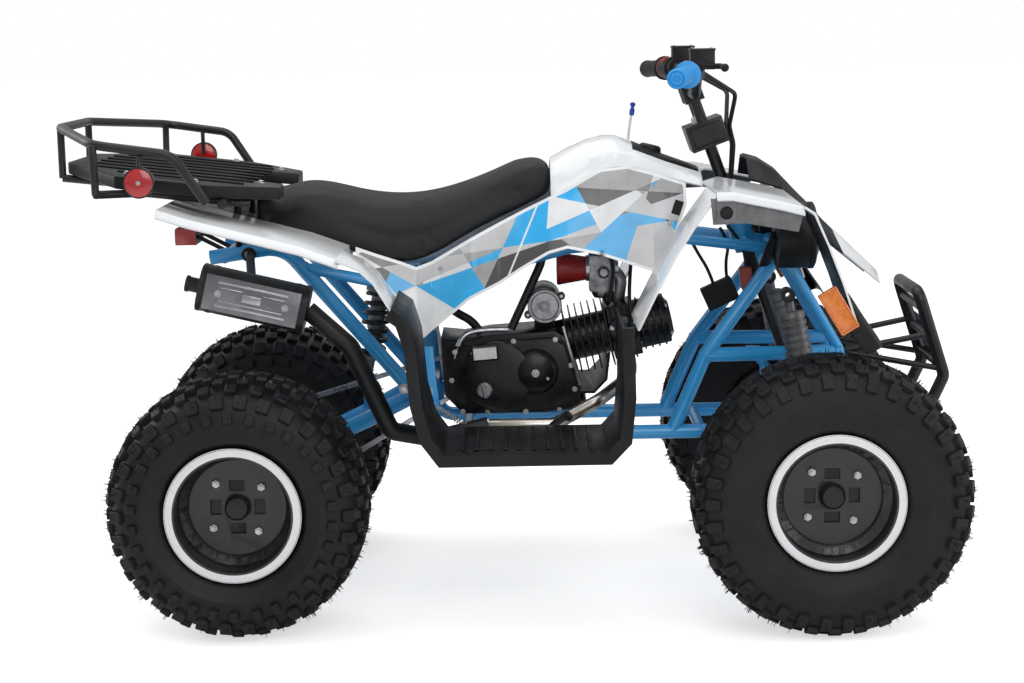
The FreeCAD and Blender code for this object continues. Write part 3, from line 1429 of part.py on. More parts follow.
seat_row_shares = [
    (0.0159, 0.9055, 0.8289, 0.3387), (0.0795, 0.9031, 0.7931, 0.3548),
    (0.1590, 0.8864, 0.7620, 0.3613), (0.2385, 0.8744, 0.7416, 0.3484),
    (0.3180, 0.8983, 0.7955, 0.3065), (0.3816, 0.9366, 0.8409, 0.2645),
    (0.4213, 0.9522, 0.8684, 0.2452), (0.4388, 0.9330, 0.8828, 0.2129),
]
seat_rows = body_rows(seat_row_shares, widths=1)
seat_sections = []
for x, top, low, wide in seat_rows:
    drop = (top - low) * 0.4
    ring = [(-wide, low), (-wide, top - drop), (-wide * 0.8, top - drop * 0.25), (0, top),
            (wide * 0.8, top - drop * 0.25), (wide, top - drop), (wide, low)]
    seat_sections.append([point(x, across, up) for across, up in ring])
seat = lofted(seat_sections).cut(rear_fender)
seat = max(seat.Solids, key=lambda solid: solid.Volume)
formed("seat", seat)

panel_row_shares = [
    (0.1590, 0.7775, 0.7560, 0.3806, 0.4000), (0.1908, 0.7608, 0.7129, 0.3935, 0.4355),
    (0.2242, 0.7440, 0.6495, 0.3935, 0.4677), (0.2448, 0.7321, 0.5718, 0.3935, 0.5000),
    (0.2671, 0.7440, 0.6005, 0.3871, 0.5000), (0.3211, 0.7895, 0.6639, 0.3613, 0.4839),
    (0.3641, 0.8230, 0.6962, 0.3355, 0.4774), (0.3998, 0.8493, 0.7297, 0.3161, 0.4710),
    (0.4340, 0.8732, 0.7584, 0.3032, 0.4645), (0.4610, 0.8911, 0.7691, 0.2903, 0.4581),
    (0.5087, 0.9318, 0.7524, 0.2774, 0.4516), (0.5485, 0.9378, 0.7321, 0.2710, 0.4452),
    (0.5835, 0.9234, 0.7141, 0.2710, 0.4452), (0.6121, 0.9091, 0.7775, 0.2774, 0.4258),
    (0.6320, 0.8995, 0.8565, 0.2839, 0.3613),
]
panel_rows = body_rows(panel_row_shares, widths=2)
panel_sections = []
for x, top, low, top_side_at, low_side_at in panel_rows:
    panel_sections.append([point(x, low_side_at, low), point(x, top_side_at, top),
                           point(x, top_side_at - mm.skin, top), point(x, low_side_at - mm.skin, low)])
side_panel = lofted(panel_sections, smooth=False)
formed("side_panels", Part.makeCompound(both_sides(side_panel)))

tank_row_shares = [
    (0.4388, 0.9533, 0.8756, 0.2968), (0.4626, 0.9725, 0.8923, 0.2871),
    (0.4921, 0.9916, 0.9151, 0.2806), (0.5159, 1.0000, 0.9330, 0.2742),
    (0.5342, 0.9988, 0.9366, 0.2677), (0.5612, 0.9833, 0.9330, 0.2677),
    (0.6057, 0.9545, 0.9127, 0.2710), (0.6359, 0.9378, 0.8995, 0.2774),
    (0.6566, 0.9258, 0.8923, 0.2839),
]
tank_rows = body_rows(tank_row_shares, widths=1)
tank_sections = []
for x, top, low, wide in tank_rows:
    half = [(0, top), (wide * 0.45, top - (top - low) * 0.12), (wide * 0.8, low + (top - low) * 0.5),
            (wide, low + mm.seat_gap)]
    profile = [(-across, up) for across, up in half[:0:-1]] + half
    tank_sections.append(skin_ring(x, profile, mm.skin))
tank_cover = lofted(tank_sections, smooth=False)
tank_cover = coped(tank_cover, [seat, side_panel, mirrored(side_panel)])
formed("tank_cover", tank_cover)

front_row_shares = [
    (0.6534, 0.9043, 0.9067), (0.6749, 0.9139, 0.9067), (0.7051, 0.9055, 0.8971),
    (0.7385, 0.8947, 0.8864), (0.7695, 0.8828, 0.8744),
]
front_rows = body_rows(front_row_shares)
shelf_sections = []
for x, inner_z, outer_z in front_rows:
    profile = [(mm.front_fender_inner_side, inner_z), (mm.front_fender_side - mm.fender_lip, outer_z),
               (mm.front_fender_side, outer_z - mm.fender_lip)]
    shelf_sections.append(skin_ring(x, profile, mm.skin))
front_shelf = lofted(shelf_sections, smooth=False)
apron_shares = [
    (0.7695, 0.8768), (0.7830, 0.8636), (0.8029, 0.7955), (0.8219, 0.7213), (0.8394, 0.6411),
]
apron_path = body_rows(apron_shares)
front_apron = strip(apron_path, mm.lamp_outer_side, mm.front_fender_side, mm.skin)
front_leg_shares = [
    (0.5477, 0.6328), (0.5715, 0.7045), (0.5986, 0.7811), (0.6216, 0.8349), (0.6566, 0.9055),
]
front_leg_path = body_rows(front_leg_shares)
front_leg_sheet = strip(front_leg_path, mm.front_leg_inner_side, mm.front_fender_side - mm.fender_lip,
                        mm.skin)
front_fender = welded([front_shelf, front_apron, front_leg_sheet])
formed("front_fender", Part.makeCompound(both_sides(front_fender)))

cowl_row_shares = [
    (0.7218, 0.9545, 0.9055, 0.3097), (0.7409, 0.9462, 0.8995, 0.3355),
    (0.7655, 0.9222, 0.8876, 0.3613), (0.7870, 0.8864, 0.8589, 0.3806),
    (0.8140, 0.8457, 0.8038, 0.3806), (0.8386, 0.8038, 0.7656, 0.3806),
    (0.8665, 0.7656, 0.7321, 0.3613), (0.9110, 0.7010, 0.6770, 0.2839),
]
cowl_rows = body_rows(cowl_row_shares, widths=1)
cowl_sections = []
for x, top, low, wide in cowl_rows:
    half = [(0, top), (wide * 0.6, top - (top - low) * 0.15), (wide, low)]
    profile = [(-across, up) for across, up in half[:0:-1]] + half
    cowl_sections.append(skin_ring(x, profile, mm.skin))
cowl = lofted(cowl_sections, smooth=False)
front_cowl = coped(cowl, both_sides(front_fender))
formed("front_cowl", front_cowl)

# Lamps and reflectors

lamp_back = point(mm.lamp_station - mm.lamp_depth, mm.lamp_side, mm.lamp_height)
lamp = welded([
    rod(lamp_back, lamp_back + X_AXIS * mm.lamp_depth, mm.lamp_radius),
    rod(lamp_back, point(mm.tower_station - mm.bend_radius / 2, mm.tower_side,
                         mm.lamp_height - mm.bend_radius),
        mm.brace_radius),
])
lamp = coped(lamp, [frame_front, front_fender, front_cowl])
formed("headlamps", Part.makeCompound(both_sides(lamp)))

tail_lamp = Part.makeBox(mm.tail_lamp_length, mm.tail_lamp_width, mm.tail_lamp_tall,
                         point(mm.tail_lamp_station, -mm.tail_lamp_width / 2,
                               mm.tail_lamp_height - mm.tail_lamp_tall / 2))
lamp_stays = []
for across in (-mm.tail_lamp_width / 3, mm.tail_lamp_width / 3):
    lamp_stays.append(rod(
        point(mm.tail_lamp_station + mm.tail_lamp_length, across, mm.tail_lamp_height),
        point(mm.tail_station + mm.rail_radius * 2, across, mm.tail_height), mm.rack_tube_radius / 2))
formed("tail_lamp", coped(welded([tail_lamp] + lamp_stays), [frame_rear]))

amber = Part.makeBox(mm.amber_width, mm.amber_depth, mm.amber_length,
                     FreeCAD.Vector(-mm.amber_width, 0, -mm.amber_length / 2))
amber.Placement = FreeCAD.Placement(
    point(mm.amber_station, mm.front_fender_side, mm.amber_height), FreeCAD.Rotation(Y_AXIS,
                                                                                     -mm.amber_lean))
formed("side_reflectors", Part.makeCompound(both_sides(amber.cut(front_fender))))

# Rack deck and side reflectors

deck_outline = [
    (mm.deck_rear_station, -mm.deck_rear_half_width), (mm.rack_corner_station + mm.deck_slot_width,
                                                       -mm.deck_half_width),
    (mm.rack_foot_station, -mm.deck_half_width), (mm.deck_front_station, -mm.deck_half_width * 0.7),
    (mm.deck_front_station, -mm.deck_half_width * 0.42), (mm.rack_foot_station + mm.deck_slot_width,
                                                          -mm.deck_half_width * 0.36),
]
deck_outline += [(x, -y) for x, y in reversed(deck_outline)]
deck_face = Part.Face(Part.makePolygon(
    [point(x, y, deck_height(x)) for x, y in deck_outline + deck_outline[:1]]))
deck = deck_face.extrude(Z_AXIS * -mm.deck_thickness)
slots = []
slot_station = mm.rack_bend_station - mm.bend_radius / 2
slot_reach = mm.deck_thickness * 2 + abs(mm.deck_rear_height - mm.deck_front_height) / 2
for row in range(-4, 5):
    middle = point(slot_station, row * mm.deck_slot_pitch, deck_height(slot_station))
    slots.append(Part.makeBox(
        mm.deck_slot_length, mm.deck_slot_width, slot_reach * 2,
        middle - FreeCAD.Vector(mm.deck_slot_length / 2, mm.deck_slot_width / 2, slot_reach)))
deck = deck.cut(slots)
formed("rack_deck", coped(deck, [rack_rail, rear_fender, seat]))

disc = rod(point(mm.reflector_station, mm.rack_corner_side - mm.reflector_depth / 2, mm.reflector_height),
           point(mm.reflector_station, mm.rack_corner_side + mm.reflector_depth / 2, mm.reflector_height),
           mm.reflector_radius)
reflector_stay = rod(point(mm.reflector_station, mm.rack_corner_side - mm.reflector_depth / 2,
                           mm.reflector_height),
                     point(mm.reflector_station, mm.rack_bend_side,
                           mm.rack_corner_height), mm.rack_tube_radius / 2)
reflector = coped(welded([disc, reflector_stay]), [rack_rail, deck])
formed("rack_reflectors", Part.makeCompound(both_sides(reflector)))

# Front bumper: one bent hoop with cross bars, stays to the frame, and a pale plate on its bars

def hoop_points(across):
    side = across * mm.bumper_side
    return [
        point(mm.nose_station, across * mm.nose_side, mm.nose_height + mm.rail_radius),
        point(mm.bumper_front_station - mm.bend_radius / 2, side,
              mm.bumper_bottom_height - mm.bend_radius / 3),
        point(mm.bumper_front_station, side, mm.bumper_face_height),
        point(mm.bumper_front_station - mm.bend_radius * 0.8, side, mm.bumper_top_height),
    ]


hoop = tube(hoop_points(-1) + hoop_points(1)[::-1], mm.bumper_radius, mm.bend_radius / 3)
bars = []
face_run = point(-mm.bend_radius * 0.8, 0, mm.bumper_top_height - mm.bumper_face_height)
face_foot = point(mm.bumper_front_station, 0, mm.bumper_face_height)
for share in (0.12, 0.45, 0.8):
    station, _, height = face_foot + face_run * share
    bars.append(rod(point(station, -mm.bumper_side, height), point(station, mm.bumper_side, height),
                    mm.rack_tube_radius))
bumper_stays = []
elbow_end = point(mm.front_elbow_station, mm.tower_side, mm.front_elbow_height)
for share in (0.08, 0.5):
    bumper_stays += both_sides(rod(elbow_end, face_foot + face_run * share + Y_AXIS * mm.bumper_side,
                                   mm.bumper_stay_radius))
front_bumper = coped(welded([hoop] + bars + bumper_stays), [frame_front, frame_lower, front_cowl])
formed("front_bumper", front_bumper)
bumper_plate = Part.makeBox(mm.bumper_plate_thickness, mm.bumper_plate_width, mm.bumper_plate_tall,
                            FreeCAD.Vector(mm.rack_tube_radius - mm.seat_gap, -mm.bumper_plate_width / 2,
                                           -mm.bumper_plate_tall / 2))
bumper_plate.Placement = FreeCAD.Placement(
    face_foot + face_run * 0.285, FreeCAD.Rotation(Z_AXIS, face_run))
formed("bumper_plate", coped(bumper_plate, [front_bumper]))

# Foot guards: heel, floor and toe sheets in one, with a stiff outer lip

heel_shares = [
    (0.2218, 0.6902), (0.2409, 0.6699), (0.2528, 0.6112), (0.2591, 0.4952), (0.2703, 0.4282),
]
heel_path = body_rows(heel_shares)
toe_shares = [
    (0.5223, 0.4211), (0.5278, 0.5024), (0.5262, 0.6435),
]
toe_path = body_rows(toe_shares)
guard_floor = [(mm.guard_floor_rear, mm.guard_floor_height), (mm.guard_floor_front, mm.guard_floor_height)]
guard_path = heel_path + guard_floor + toe_path
guard_sheet = strip(guard_path, mm.guard_inner_side, mm.guard_outer_side, mm.guard_sheet)
guard_lip = strip(guard_path, mm.guard_outer_side - mm.guard_lip, mm.guard_outer_side, mm.guard_rib)
guard_stays = []
for station in (mm.guard_rear_stay, mm.guard_front_stay):
    guard_stays.append(rod(point(station, mm.rail_side, mm.rail_height),
                           point(station, mm.guard_outer_side - mm.guard_lip,
                                 mm.guard_floor_height - mm.guard_sheet),
                           mm.brace_radius / 1.2))
guard = welded([guard_sheet, guard_lip] + guard_stays)
left_guard = coped(guard, [frame_lower, frame_rear, frame_front, rear_fender, front_fender])
right_guard = coped(mirrored(guard), [frame_lower, frame_rear, frame_front, rear_fender,
                                      mirrored(front_fender), exhaust_pipe, header])
formed("foot_guards", Part.makeCompound([left_guard, right_guard]))

pedal_tip = point(mm.pedal_station, -mm.pedal_side, mm.pedal_height)
pedal_pivot = point(mm.pedal_pivot_station, -mm.pedal_side, mm.pedal_pivot_height)
pedal = welded([
    rod(pedal_tip, pedal_pivot, mm.pedal_thickness),
    rod(pedal_tip - Y_AXIS * (mm.pedal_thickness * 3), pedal_tip, mm.pedal_thickness),
    rod(pedal_pivot, point(mm.pedal_pivot_station, -mm.rail_side, mm.rail_height), mm.pedal_thickness),
])
formed("brake_pedal", coped(pedal, [frame_lower, header, right_guard]))


# Every piece is checked, then written under its own name

doc.recompute()
for piece in doc.Objects:
    if "Invalid" in piece.State or "Error" in piece.State:
        raise RuntimeError(f"{piece.Label} failed: {piece.State}")
os.makedirs("parts", exist_ok=True)
for node in nodes:
    if node.Shape.isNull() or not node.Shape.isValid():
        raise RuntimeError(f"{node.Label} has no sound shape")
    node.Shape.exportStep(f"parts/{node.Label}.step")
print(len(nodes), "pieces written")
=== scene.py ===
import json
import math
import random

import bmesh
import bpy
from mathutils import Matrix, Vector

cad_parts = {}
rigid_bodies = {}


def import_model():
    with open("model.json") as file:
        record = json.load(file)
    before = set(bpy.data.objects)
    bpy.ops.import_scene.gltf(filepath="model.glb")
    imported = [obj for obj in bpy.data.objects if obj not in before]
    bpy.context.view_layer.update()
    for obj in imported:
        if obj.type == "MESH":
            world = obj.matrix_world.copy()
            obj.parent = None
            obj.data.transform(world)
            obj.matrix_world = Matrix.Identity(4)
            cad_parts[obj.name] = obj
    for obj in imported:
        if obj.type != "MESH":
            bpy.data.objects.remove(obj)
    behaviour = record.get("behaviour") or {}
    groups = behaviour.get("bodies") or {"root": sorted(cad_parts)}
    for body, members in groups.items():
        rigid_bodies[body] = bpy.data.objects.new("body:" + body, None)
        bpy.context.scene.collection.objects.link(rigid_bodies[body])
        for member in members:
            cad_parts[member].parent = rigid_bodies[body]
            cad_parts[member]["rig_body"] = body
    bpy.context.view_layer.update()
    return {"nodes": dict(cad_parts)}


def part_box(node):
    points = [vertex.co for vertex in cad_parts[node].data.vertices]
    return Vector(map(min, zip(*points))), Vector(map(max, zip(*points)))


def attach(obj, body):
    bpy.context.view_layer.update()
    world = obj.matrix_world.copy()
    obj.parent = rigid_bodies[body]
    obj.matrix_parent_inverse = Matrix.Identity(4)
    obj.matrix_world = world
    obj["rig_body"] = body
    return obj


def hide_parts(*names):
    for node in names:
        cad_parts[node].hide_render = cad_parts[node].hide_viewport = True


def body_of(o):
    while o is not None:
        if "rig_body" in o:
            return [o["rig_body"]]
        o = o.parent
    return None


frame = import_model()
nodes = frame["nodes"]
collection = bpy.context.scene.collection
MM = 0.001

# Camera: a long lens well to the right-hand side, a little above the seat and looking slightly down
# on the machine, which faces right in the picture.

camera_data = bpy.data.cameras.new("camera")
camera = bpy.data.objects.new("camera", camera_data)
collection.objects.link(camera)
camera_data.sensor_width = 36
camera_data.lens = 71.8
camera_place = Vector((0.0169, -3.7636, 1.0426))
camera_down = 0.15494
camera_yaw = 0.00359
camera_roll = -0.01867
camera.matrix_world = (
    Matrix.Translation(camera_place)
    @ Matrix.Rotation(camera_yaw, 4, "Z")
    @ Matrix.Rotation(math.pi / 2 - camera_down, 4, "X")
    @ Matrix.Rotation(camera_roll, 4, "Z")
)
bpy.context.scene.camera = camera
bpy.context.scene.view_settings.view_transform = "Standard"

# Studio: a plain pale floor and a white surround, which the camera sees brighter than the machine
# does, and large soft lamps above, ahead and behind.

floor_size = 40
floor_mesh = bmesh.new()
bmesh.ops.create_grid(floor_mesh, x_segments=1, y_segments=1, size=floor_size)
floor_data = bpy.data.meshes.new("floor")
floor_mesh.to_mesh(floor_data)
floor_mesh.free()
floor = bpy.data.objects.new("floor", floor_data)
collection.objects.link(floor)

floor_paper = bpy.data.materials.new("floor_paper")
floor_paper.use_nodes = True
paper_tree = floor_paper.node_tree
paper = paper_tree.nodes["Principled BSDF"]
paper.inputs["Base Color"].default_value = (0.92, 0.92, 0.92, 1)
paper.inputs["Roughness"].default_value = 0.9
paper.inputs["Emission Color"].default_value = (1, 1, 1, 1)
paper_light = paper_tree.nodes.new("ShaderNodeLightPath")
paper_glow = paper_tree.nodes.new("ShaderNodeMath")
paper_glow.operation = "MULTIPLY"
paper_glow.inputs[1].default_value = 0.6
paper_tree.links.new(paper_light.outputs["Is Camera Ray"], paper_glow.inputs[0])
paper_tree.links.new(paper_glow.outputs[0], paper.inputs["Emission Strength"])
floor_data.materials.append(floor_paper)

world = bpy.data.worlds.new("studio")
bpy.context.scene.world = world
world.use_nodes = True
world_tree = world.node_tree
soft_sky = world_tree.nodes["Background"]
soft_sky.inputs["Color"].default_value = (0.96, 0.98, 1, 1)
soft_sky.inputs["Strength"].default_value = 0.5
white_wall = world_tree.nodes.new("ShaderNodeBackground")
white_wall.inputs["Color"].default_value = (1, 1, 1, 1)
white_wall.inputs["Strength"].default_value = 1
seen = world_tree.nodes.new("ShaderNodeLightPath")
either = world_tree.nodes.new("ShaderNodeMixShader")
world_tree.links.new(seen.outputs["Is Camera Ray"], either.inputs["Fac"])
world_tree.links.new(soft_sky.outputs["Background"], either.inputs[1])
world_tree.links.new(white_wall.outputs["Background"], either.inputs[2])
world_tree.links.new(either.outputs["Shader"], world_tree.nodes["World Output"].inputs["Surface"])

lamp_target = Vector((0, 0, 0.5))
lamp_rows = {
    "lamp_side": {"place": (0.6, -3.4, 2.6), "size": 2.6, "power": 44},
    "lamp_top": {"place": (-0.3, 0.2, 3.4), "size": 3.2, "power": 50},
    "lamp_front": {"place": (3.6, -0.8, 1.6), "size": 1.8, "power": 22},
    "lamp_behind": {"place": (-3.2, 1.6, 2), "size": 2, "power": 22},
}
for lamp_name, lamp_row in lamp_rows.items():
    lamp_data = bpy.data.lights.new(lamp_name, "AREA")
    lamp_data.shape = "SQUARE"
    lamp_data.size = lamp_row["size"]
    lamp_data.energy = lamp_row["power"]
    lamp = bpy.data.objects.new(lamp_name, lamp_data)
    collection.objects.link(lamp)
    lamp.location = lamp_row["place"]
    lamp.rotation_euler = (lamp_target - lamp.location).to_track_quat("-Z", "Y").to_euler()


# Tyres: knobbly balloon tyres, moulded rubber with square tread blocks, shoulder blocks that reach
# down the wall, fine ribs at the bead, and the thin hairs that the mould's vents leave behind.

surface = bpy.data.node_groups.new("surface_grain", "ShaderNodeTree")
for socket_name, socket_kind, first_value in [
    ("Colour", "NodeSocketColor", (0.5, 0.5, 0.5, 1)),
    ("Second Colour", "NodeSocketColor", (0.4, 0.4, 0.4, 1)),
    ("Patch Scale", "NodeSocketFloat", 12),
    ("Grain Scale", "NodeSocketFloat", 600),
    ("Roughness", "NodeSocketFloat", 0.5),
    ("Roughness Spread", "NodeSocketFloat", 0.1),
]:
    group_socket = surface.interface.new_socket(socket_name, in_out="INPUT", socket_type=socket_kind)
    group_socket.default_value = first_value
surface.interface.new_socket("Colour", in_out="OUTPUT", socket_type="NodeSocketColor")
surface.interface.new_socket("Roughness", in_out="OUTPUT", socket_type="NodeSocketFloat")
surface.interface.new_socket("Height", in_out="OUTPUT", socket_type="NodeSocketFloat")
group_in = surface.nodes.new("NodeGroupInput")
group_out = surface.nodes.new("NodeGroupOutput")
place = surface.nodes.new("ShaderNodeTexCoord")
patches = surface.nodes.new("ShaderNodeTexNoise")
patches.inputs["Detail"].default_value = 4
patches.inputs["Roughness"].default_value = 0.6
grain = surface.nodes.new("ShaderNodeTexNoise")
grain.inputs["Detail"].default_value = 3
patch_range = surface.nodes.new("ShaderNodeMapRange")
patch_range.inputs["From Min"].default_value = 0.36
patch_range.inputs["From Max"].default_value = 0.66
blend_colours = surface.nodes.new("ShaderNodeMix")
blend_colours.data_type = "RGBA"
rough_shift = surface.nodes.new("ShaderNodeMath")
rough_shift.operation = "MULTIPLY_ADD"
for output, socket in (
    (place.outputs["Object"], patches.inputs["Vector"]),
    (place.outputs["Object"], grain.inputs["Vector"]),
    (group_in.outputs["Patch Scale"], patches.inputs["Scale"]),
    (group_in.outputs["Grain Scale"], grain.inputs["Scale"]),
    (patches.outputs["Fac"], patch_range.inputs["Value"]),
    (patch_range.outputs["Result"], blend_colours.inputs["Factor"]),
    (group_in.outputs["Colour"], blend_colours.inputs["A"]),
    (group_in.outputs["Second Colour"], blend_colours.inputs["B"]),
    (blend_colours.outputs["Result"], group_out.inputs["Colour"]),
    (patch_range.outputs["Result"], rough_shift.inputs[0]),
    (group_in.outputs["Roughness Spread"], rough_shift.inputs[1]),
    (group_in.outputs["Roughness"], rough_shift.inputs[2]),
    (rough_shift.outputs[0], group_out.inputs["Roughness"]),
    (grain.outputs["Fac"], group_out.inputs["Height"]),
):
    surface.links.new(output, socket)


def finish_of(name, colour, second, rough, spread, patch_scale, grain_scale, depth, metal=0, coat=0,
              shine=0.5):
    """A material whose colour and gloss wander a little and whose grain is raised by depth metres."""
    material = bpy.data.materials.new(name)
    material.use_nodes = True
    tree = material.node_tree
    shader = tree.nodes["Principled BSDF"]
    group = tree.nodes.new("ShaderNodeGroup")
    group.node_tree = surface
    for socket_name, value in (
        ("Colour", (*colour, 1)), ("Second Colour", (*second, 1)), ("Patch Scale", patch_scale),
        ("Grain Scale", grain_scale), ("Roughness", rough), ("Roughness Spread", spread),
    ):
        group.inputs[socket_name].default_value = value
    raised = tree.nodes.new("ShaderNodeBump")
    raised.inputs["Strength"].default_value = 1
    raised.inputs["Distance"].default_value = depth
    for socket_name, value in (("Metallic", metal), ("Coat Weight", coat), ("Coat Roughness", 0.12),
                               ("Specular IOR Level", shine)):
        shader.inputs[socket_name].default_value = value
    tree.links.new(group.outputs["Colour"], shader.inputs["Base Color"])
    tree.links.new(group.outputs["Roughness"], shader.inputs["Roughness"])
    tree.links.new(group.outputs["Height"], raised.inputs["Height"])
    tree.links.new(raised.outputs["Normal"], shader.inputs["Normal"])
    return material


def kept(mesh_work, name):
    """Keep a finished bmesh as a mesh."""
    data = bpy.data.meshes.new(name)
    mesh_work.to_mesh(data)
    mesh_work.free()
    return data


def piece_from(mesh_work, name, material, body="chassis", smooth=True):
    """Turn a finished bmesh into a named piece with a finish that rides on a body."""
    bmesh.ops.recalc_face_normals(mesh_work, faces=mesh_work.faces)
    data = kept(mesh_work, name)
    data.materials.append(material)
    for face in data.polygons:
        face.use_smooth = smooth
    made = bpy.data.objects.new(name, data)
    collection.objects.link(made)
    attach(made, body)
    return made


def sharpened(made, angle=35):
    """Keep the edges crisp where two faces of a smooth-shaded piece meet at more than the angle."""
    made.data.set_sharp_from_angle(angle=math.radians(angle))
    return made


def spun(mesh_work, profile, steps):
    """Turn an open or closed run of (radius, across) points once round the Y axis."""
    corners = [mesh_work.verts.new((radius, across, 0)) for radius, across in profile]
    edges = [mesh_work.edges.new(pair) for pair in zip(corners, corners[1:] + corners[:1])]
    bmesh.ops.spin(mesh_work, geom=corners + edges, cent=(0, 0, 0), axis=(0, 1, 0),
                   angle=2 * math.pi, steps=steps, use_merge=True, use_duplicate=False)


def repeated(mesh_work, template, places):
    """Copy a template mesh into the work at each of the given places."""
    count = len(template.vertices)
    for spot in places:
        mesh_work.from_mesh(template)
        mesh_work.verts.ensure_lookup_table()
        bmesh.ops.transform(mesh_work, matrix=spot, verts=mesh_work.verts[-count:])


def block(size, bevel, segments=1):
    """A small moulded block with bevelled edges, as a mesh to be repeated."""
    work = bmesh.new()
    bmesh.ops.create_cube(work, size=1)
    bmesh.ops.scale(work, vec=size, verts=work.verts)
    bmesh.ops.bevel(work, geom=list(work.edges), offset=bevel, offset_type="OFFSET", segments=segments,
                    profile=0.5, affect="EDGES", material=-1)
    return kept(work, "block")


tyre_rubber = finish_of("tyre_rubber", (0.009, 0.009, 0.01), (0.016, 0.016, 0.017), rough=0.42,
                        spread=0.16, patch_scale=26, grain_scale=900, depth=0.25 * MM, shine=0.26)
tyre_steps = 96
knob_height_share = 2.1
knob_sunk_share = 1.05
knob_edge = 1.6 * MM
knob_scatter = 0.012
bead_rib_size = (8 * MM, 3 * MM, 1.6 * MM)
bead_rib_edge = 0.4 * MM
bead_rib_count = 110
bead_rib_side_share = 0.865
bead_rib_lean = math.radians(32)
hair_count = 560
hair_length = 9 * MM
hair_radius = 0.8 * MM
hair_out_share = 0.4
hair_lean = 0.35
hair_reach = (8 * MM, 7 * MM)
tyre_kinds = {
    "front": {
        "radius": 239 * MM,
        "half_width": 89 * MM,
        "bead": 117 * MM,
        "inner": 104 * MM,
        "lug": 8 * MM,
        "lugs_in_row": 34,
        "lug_rows": [
            {"across": 0, "long": 21 * MM, "wide": 22 * MM, "phase": 0, "tilt": 0, "sink": 0},
            {"across": 32 * MM, "long": 22 * MM, "wide": 21 * MM, "phase": 0.5, "tilt": 8, "sink": 1.2 * MM},
            {"across": 61 * MM, "long": 23 * MM, "wide": 22 * MM, "phase": 0, "tilt": 24, "sink": 7 * MM},
            {"across": 80 * MM, "long": 19 * MM, "wide": 26 * MM, "phase": 0.5, "tilt": 62, "sink": 24 * MM},
        ],
    },
    "rear": {
        "radius": 226 * MM,
        "half_width": 117.5 * MM,
        "bead": 117 * MM,
        "inner": 104 * MM,
        "lug": 13 * MM,
        "lugs_in_row": 30,
        "lug_rows": [
            {"across": 15 * MM, "long": 17 * MM, "wide": 22 * MM, "phase": 0, "tilt": 3, "sink": 0},
            {"across": 45 * MM, "long": 18 * MM, "wide": 23 * MM, "phase": 0.45, "tilt": 8,
             "sink": 1.5 * MM},
            {"across": 75 * MM, "long": 19 * MM, "wide": 23 * MM, "phase": 0.05, "tilt": 20, "sink": 7 * MM},
            {"across": 99 * MM, "long": 21 * MM, "wide": 25 * MM, "phase": 0.5, "tilt": 52, "sink": 21 * MM},
            {"across": 112 * MM, "long": 15 * MM, "wide": 17 * MM, "phase": 0, "tilt": 76, "sink": 43 * MM},
        ],
    },
}


def carcass_profile(kind):
    """The closed section of a balloon tyre: bead, round wall, shoulder and a nearly flat tread."""
    edge = kind["half_width"]
    top = kind["radius"] - kind["lug"]
    drop = top - kind["bead"]
    half = [
        (kind["inner"], edge * 0.74),
        (kind["bead"] + 1 * MM, edge * 0.76),
        (kind["bead"] + 4 * MM, edge * 0.84),
        (kind["bead"] + 11 * MM, edge * 0.9),
        (kind["bead"] + drop * 0.3, edge * 0.96),
        (kind["bead"] + drop * 0.34, edge * 0.985),
        (kind["bead"] + drop * 0.38, edge * 0.985),
        (kind["bead"] + drop * 0.6, edge * 0.975),
        (kind["bead"] + drop * 0.8, edge * 0.9),
        (kind["bead"] + drop * 0.92, edge * 0.76),
        (top - 1.5 * MM, edge * 0.5),
        (top, edge * 0.2),
    ]
    return half + [(radius, -across) for radius, across in reversed(half)]


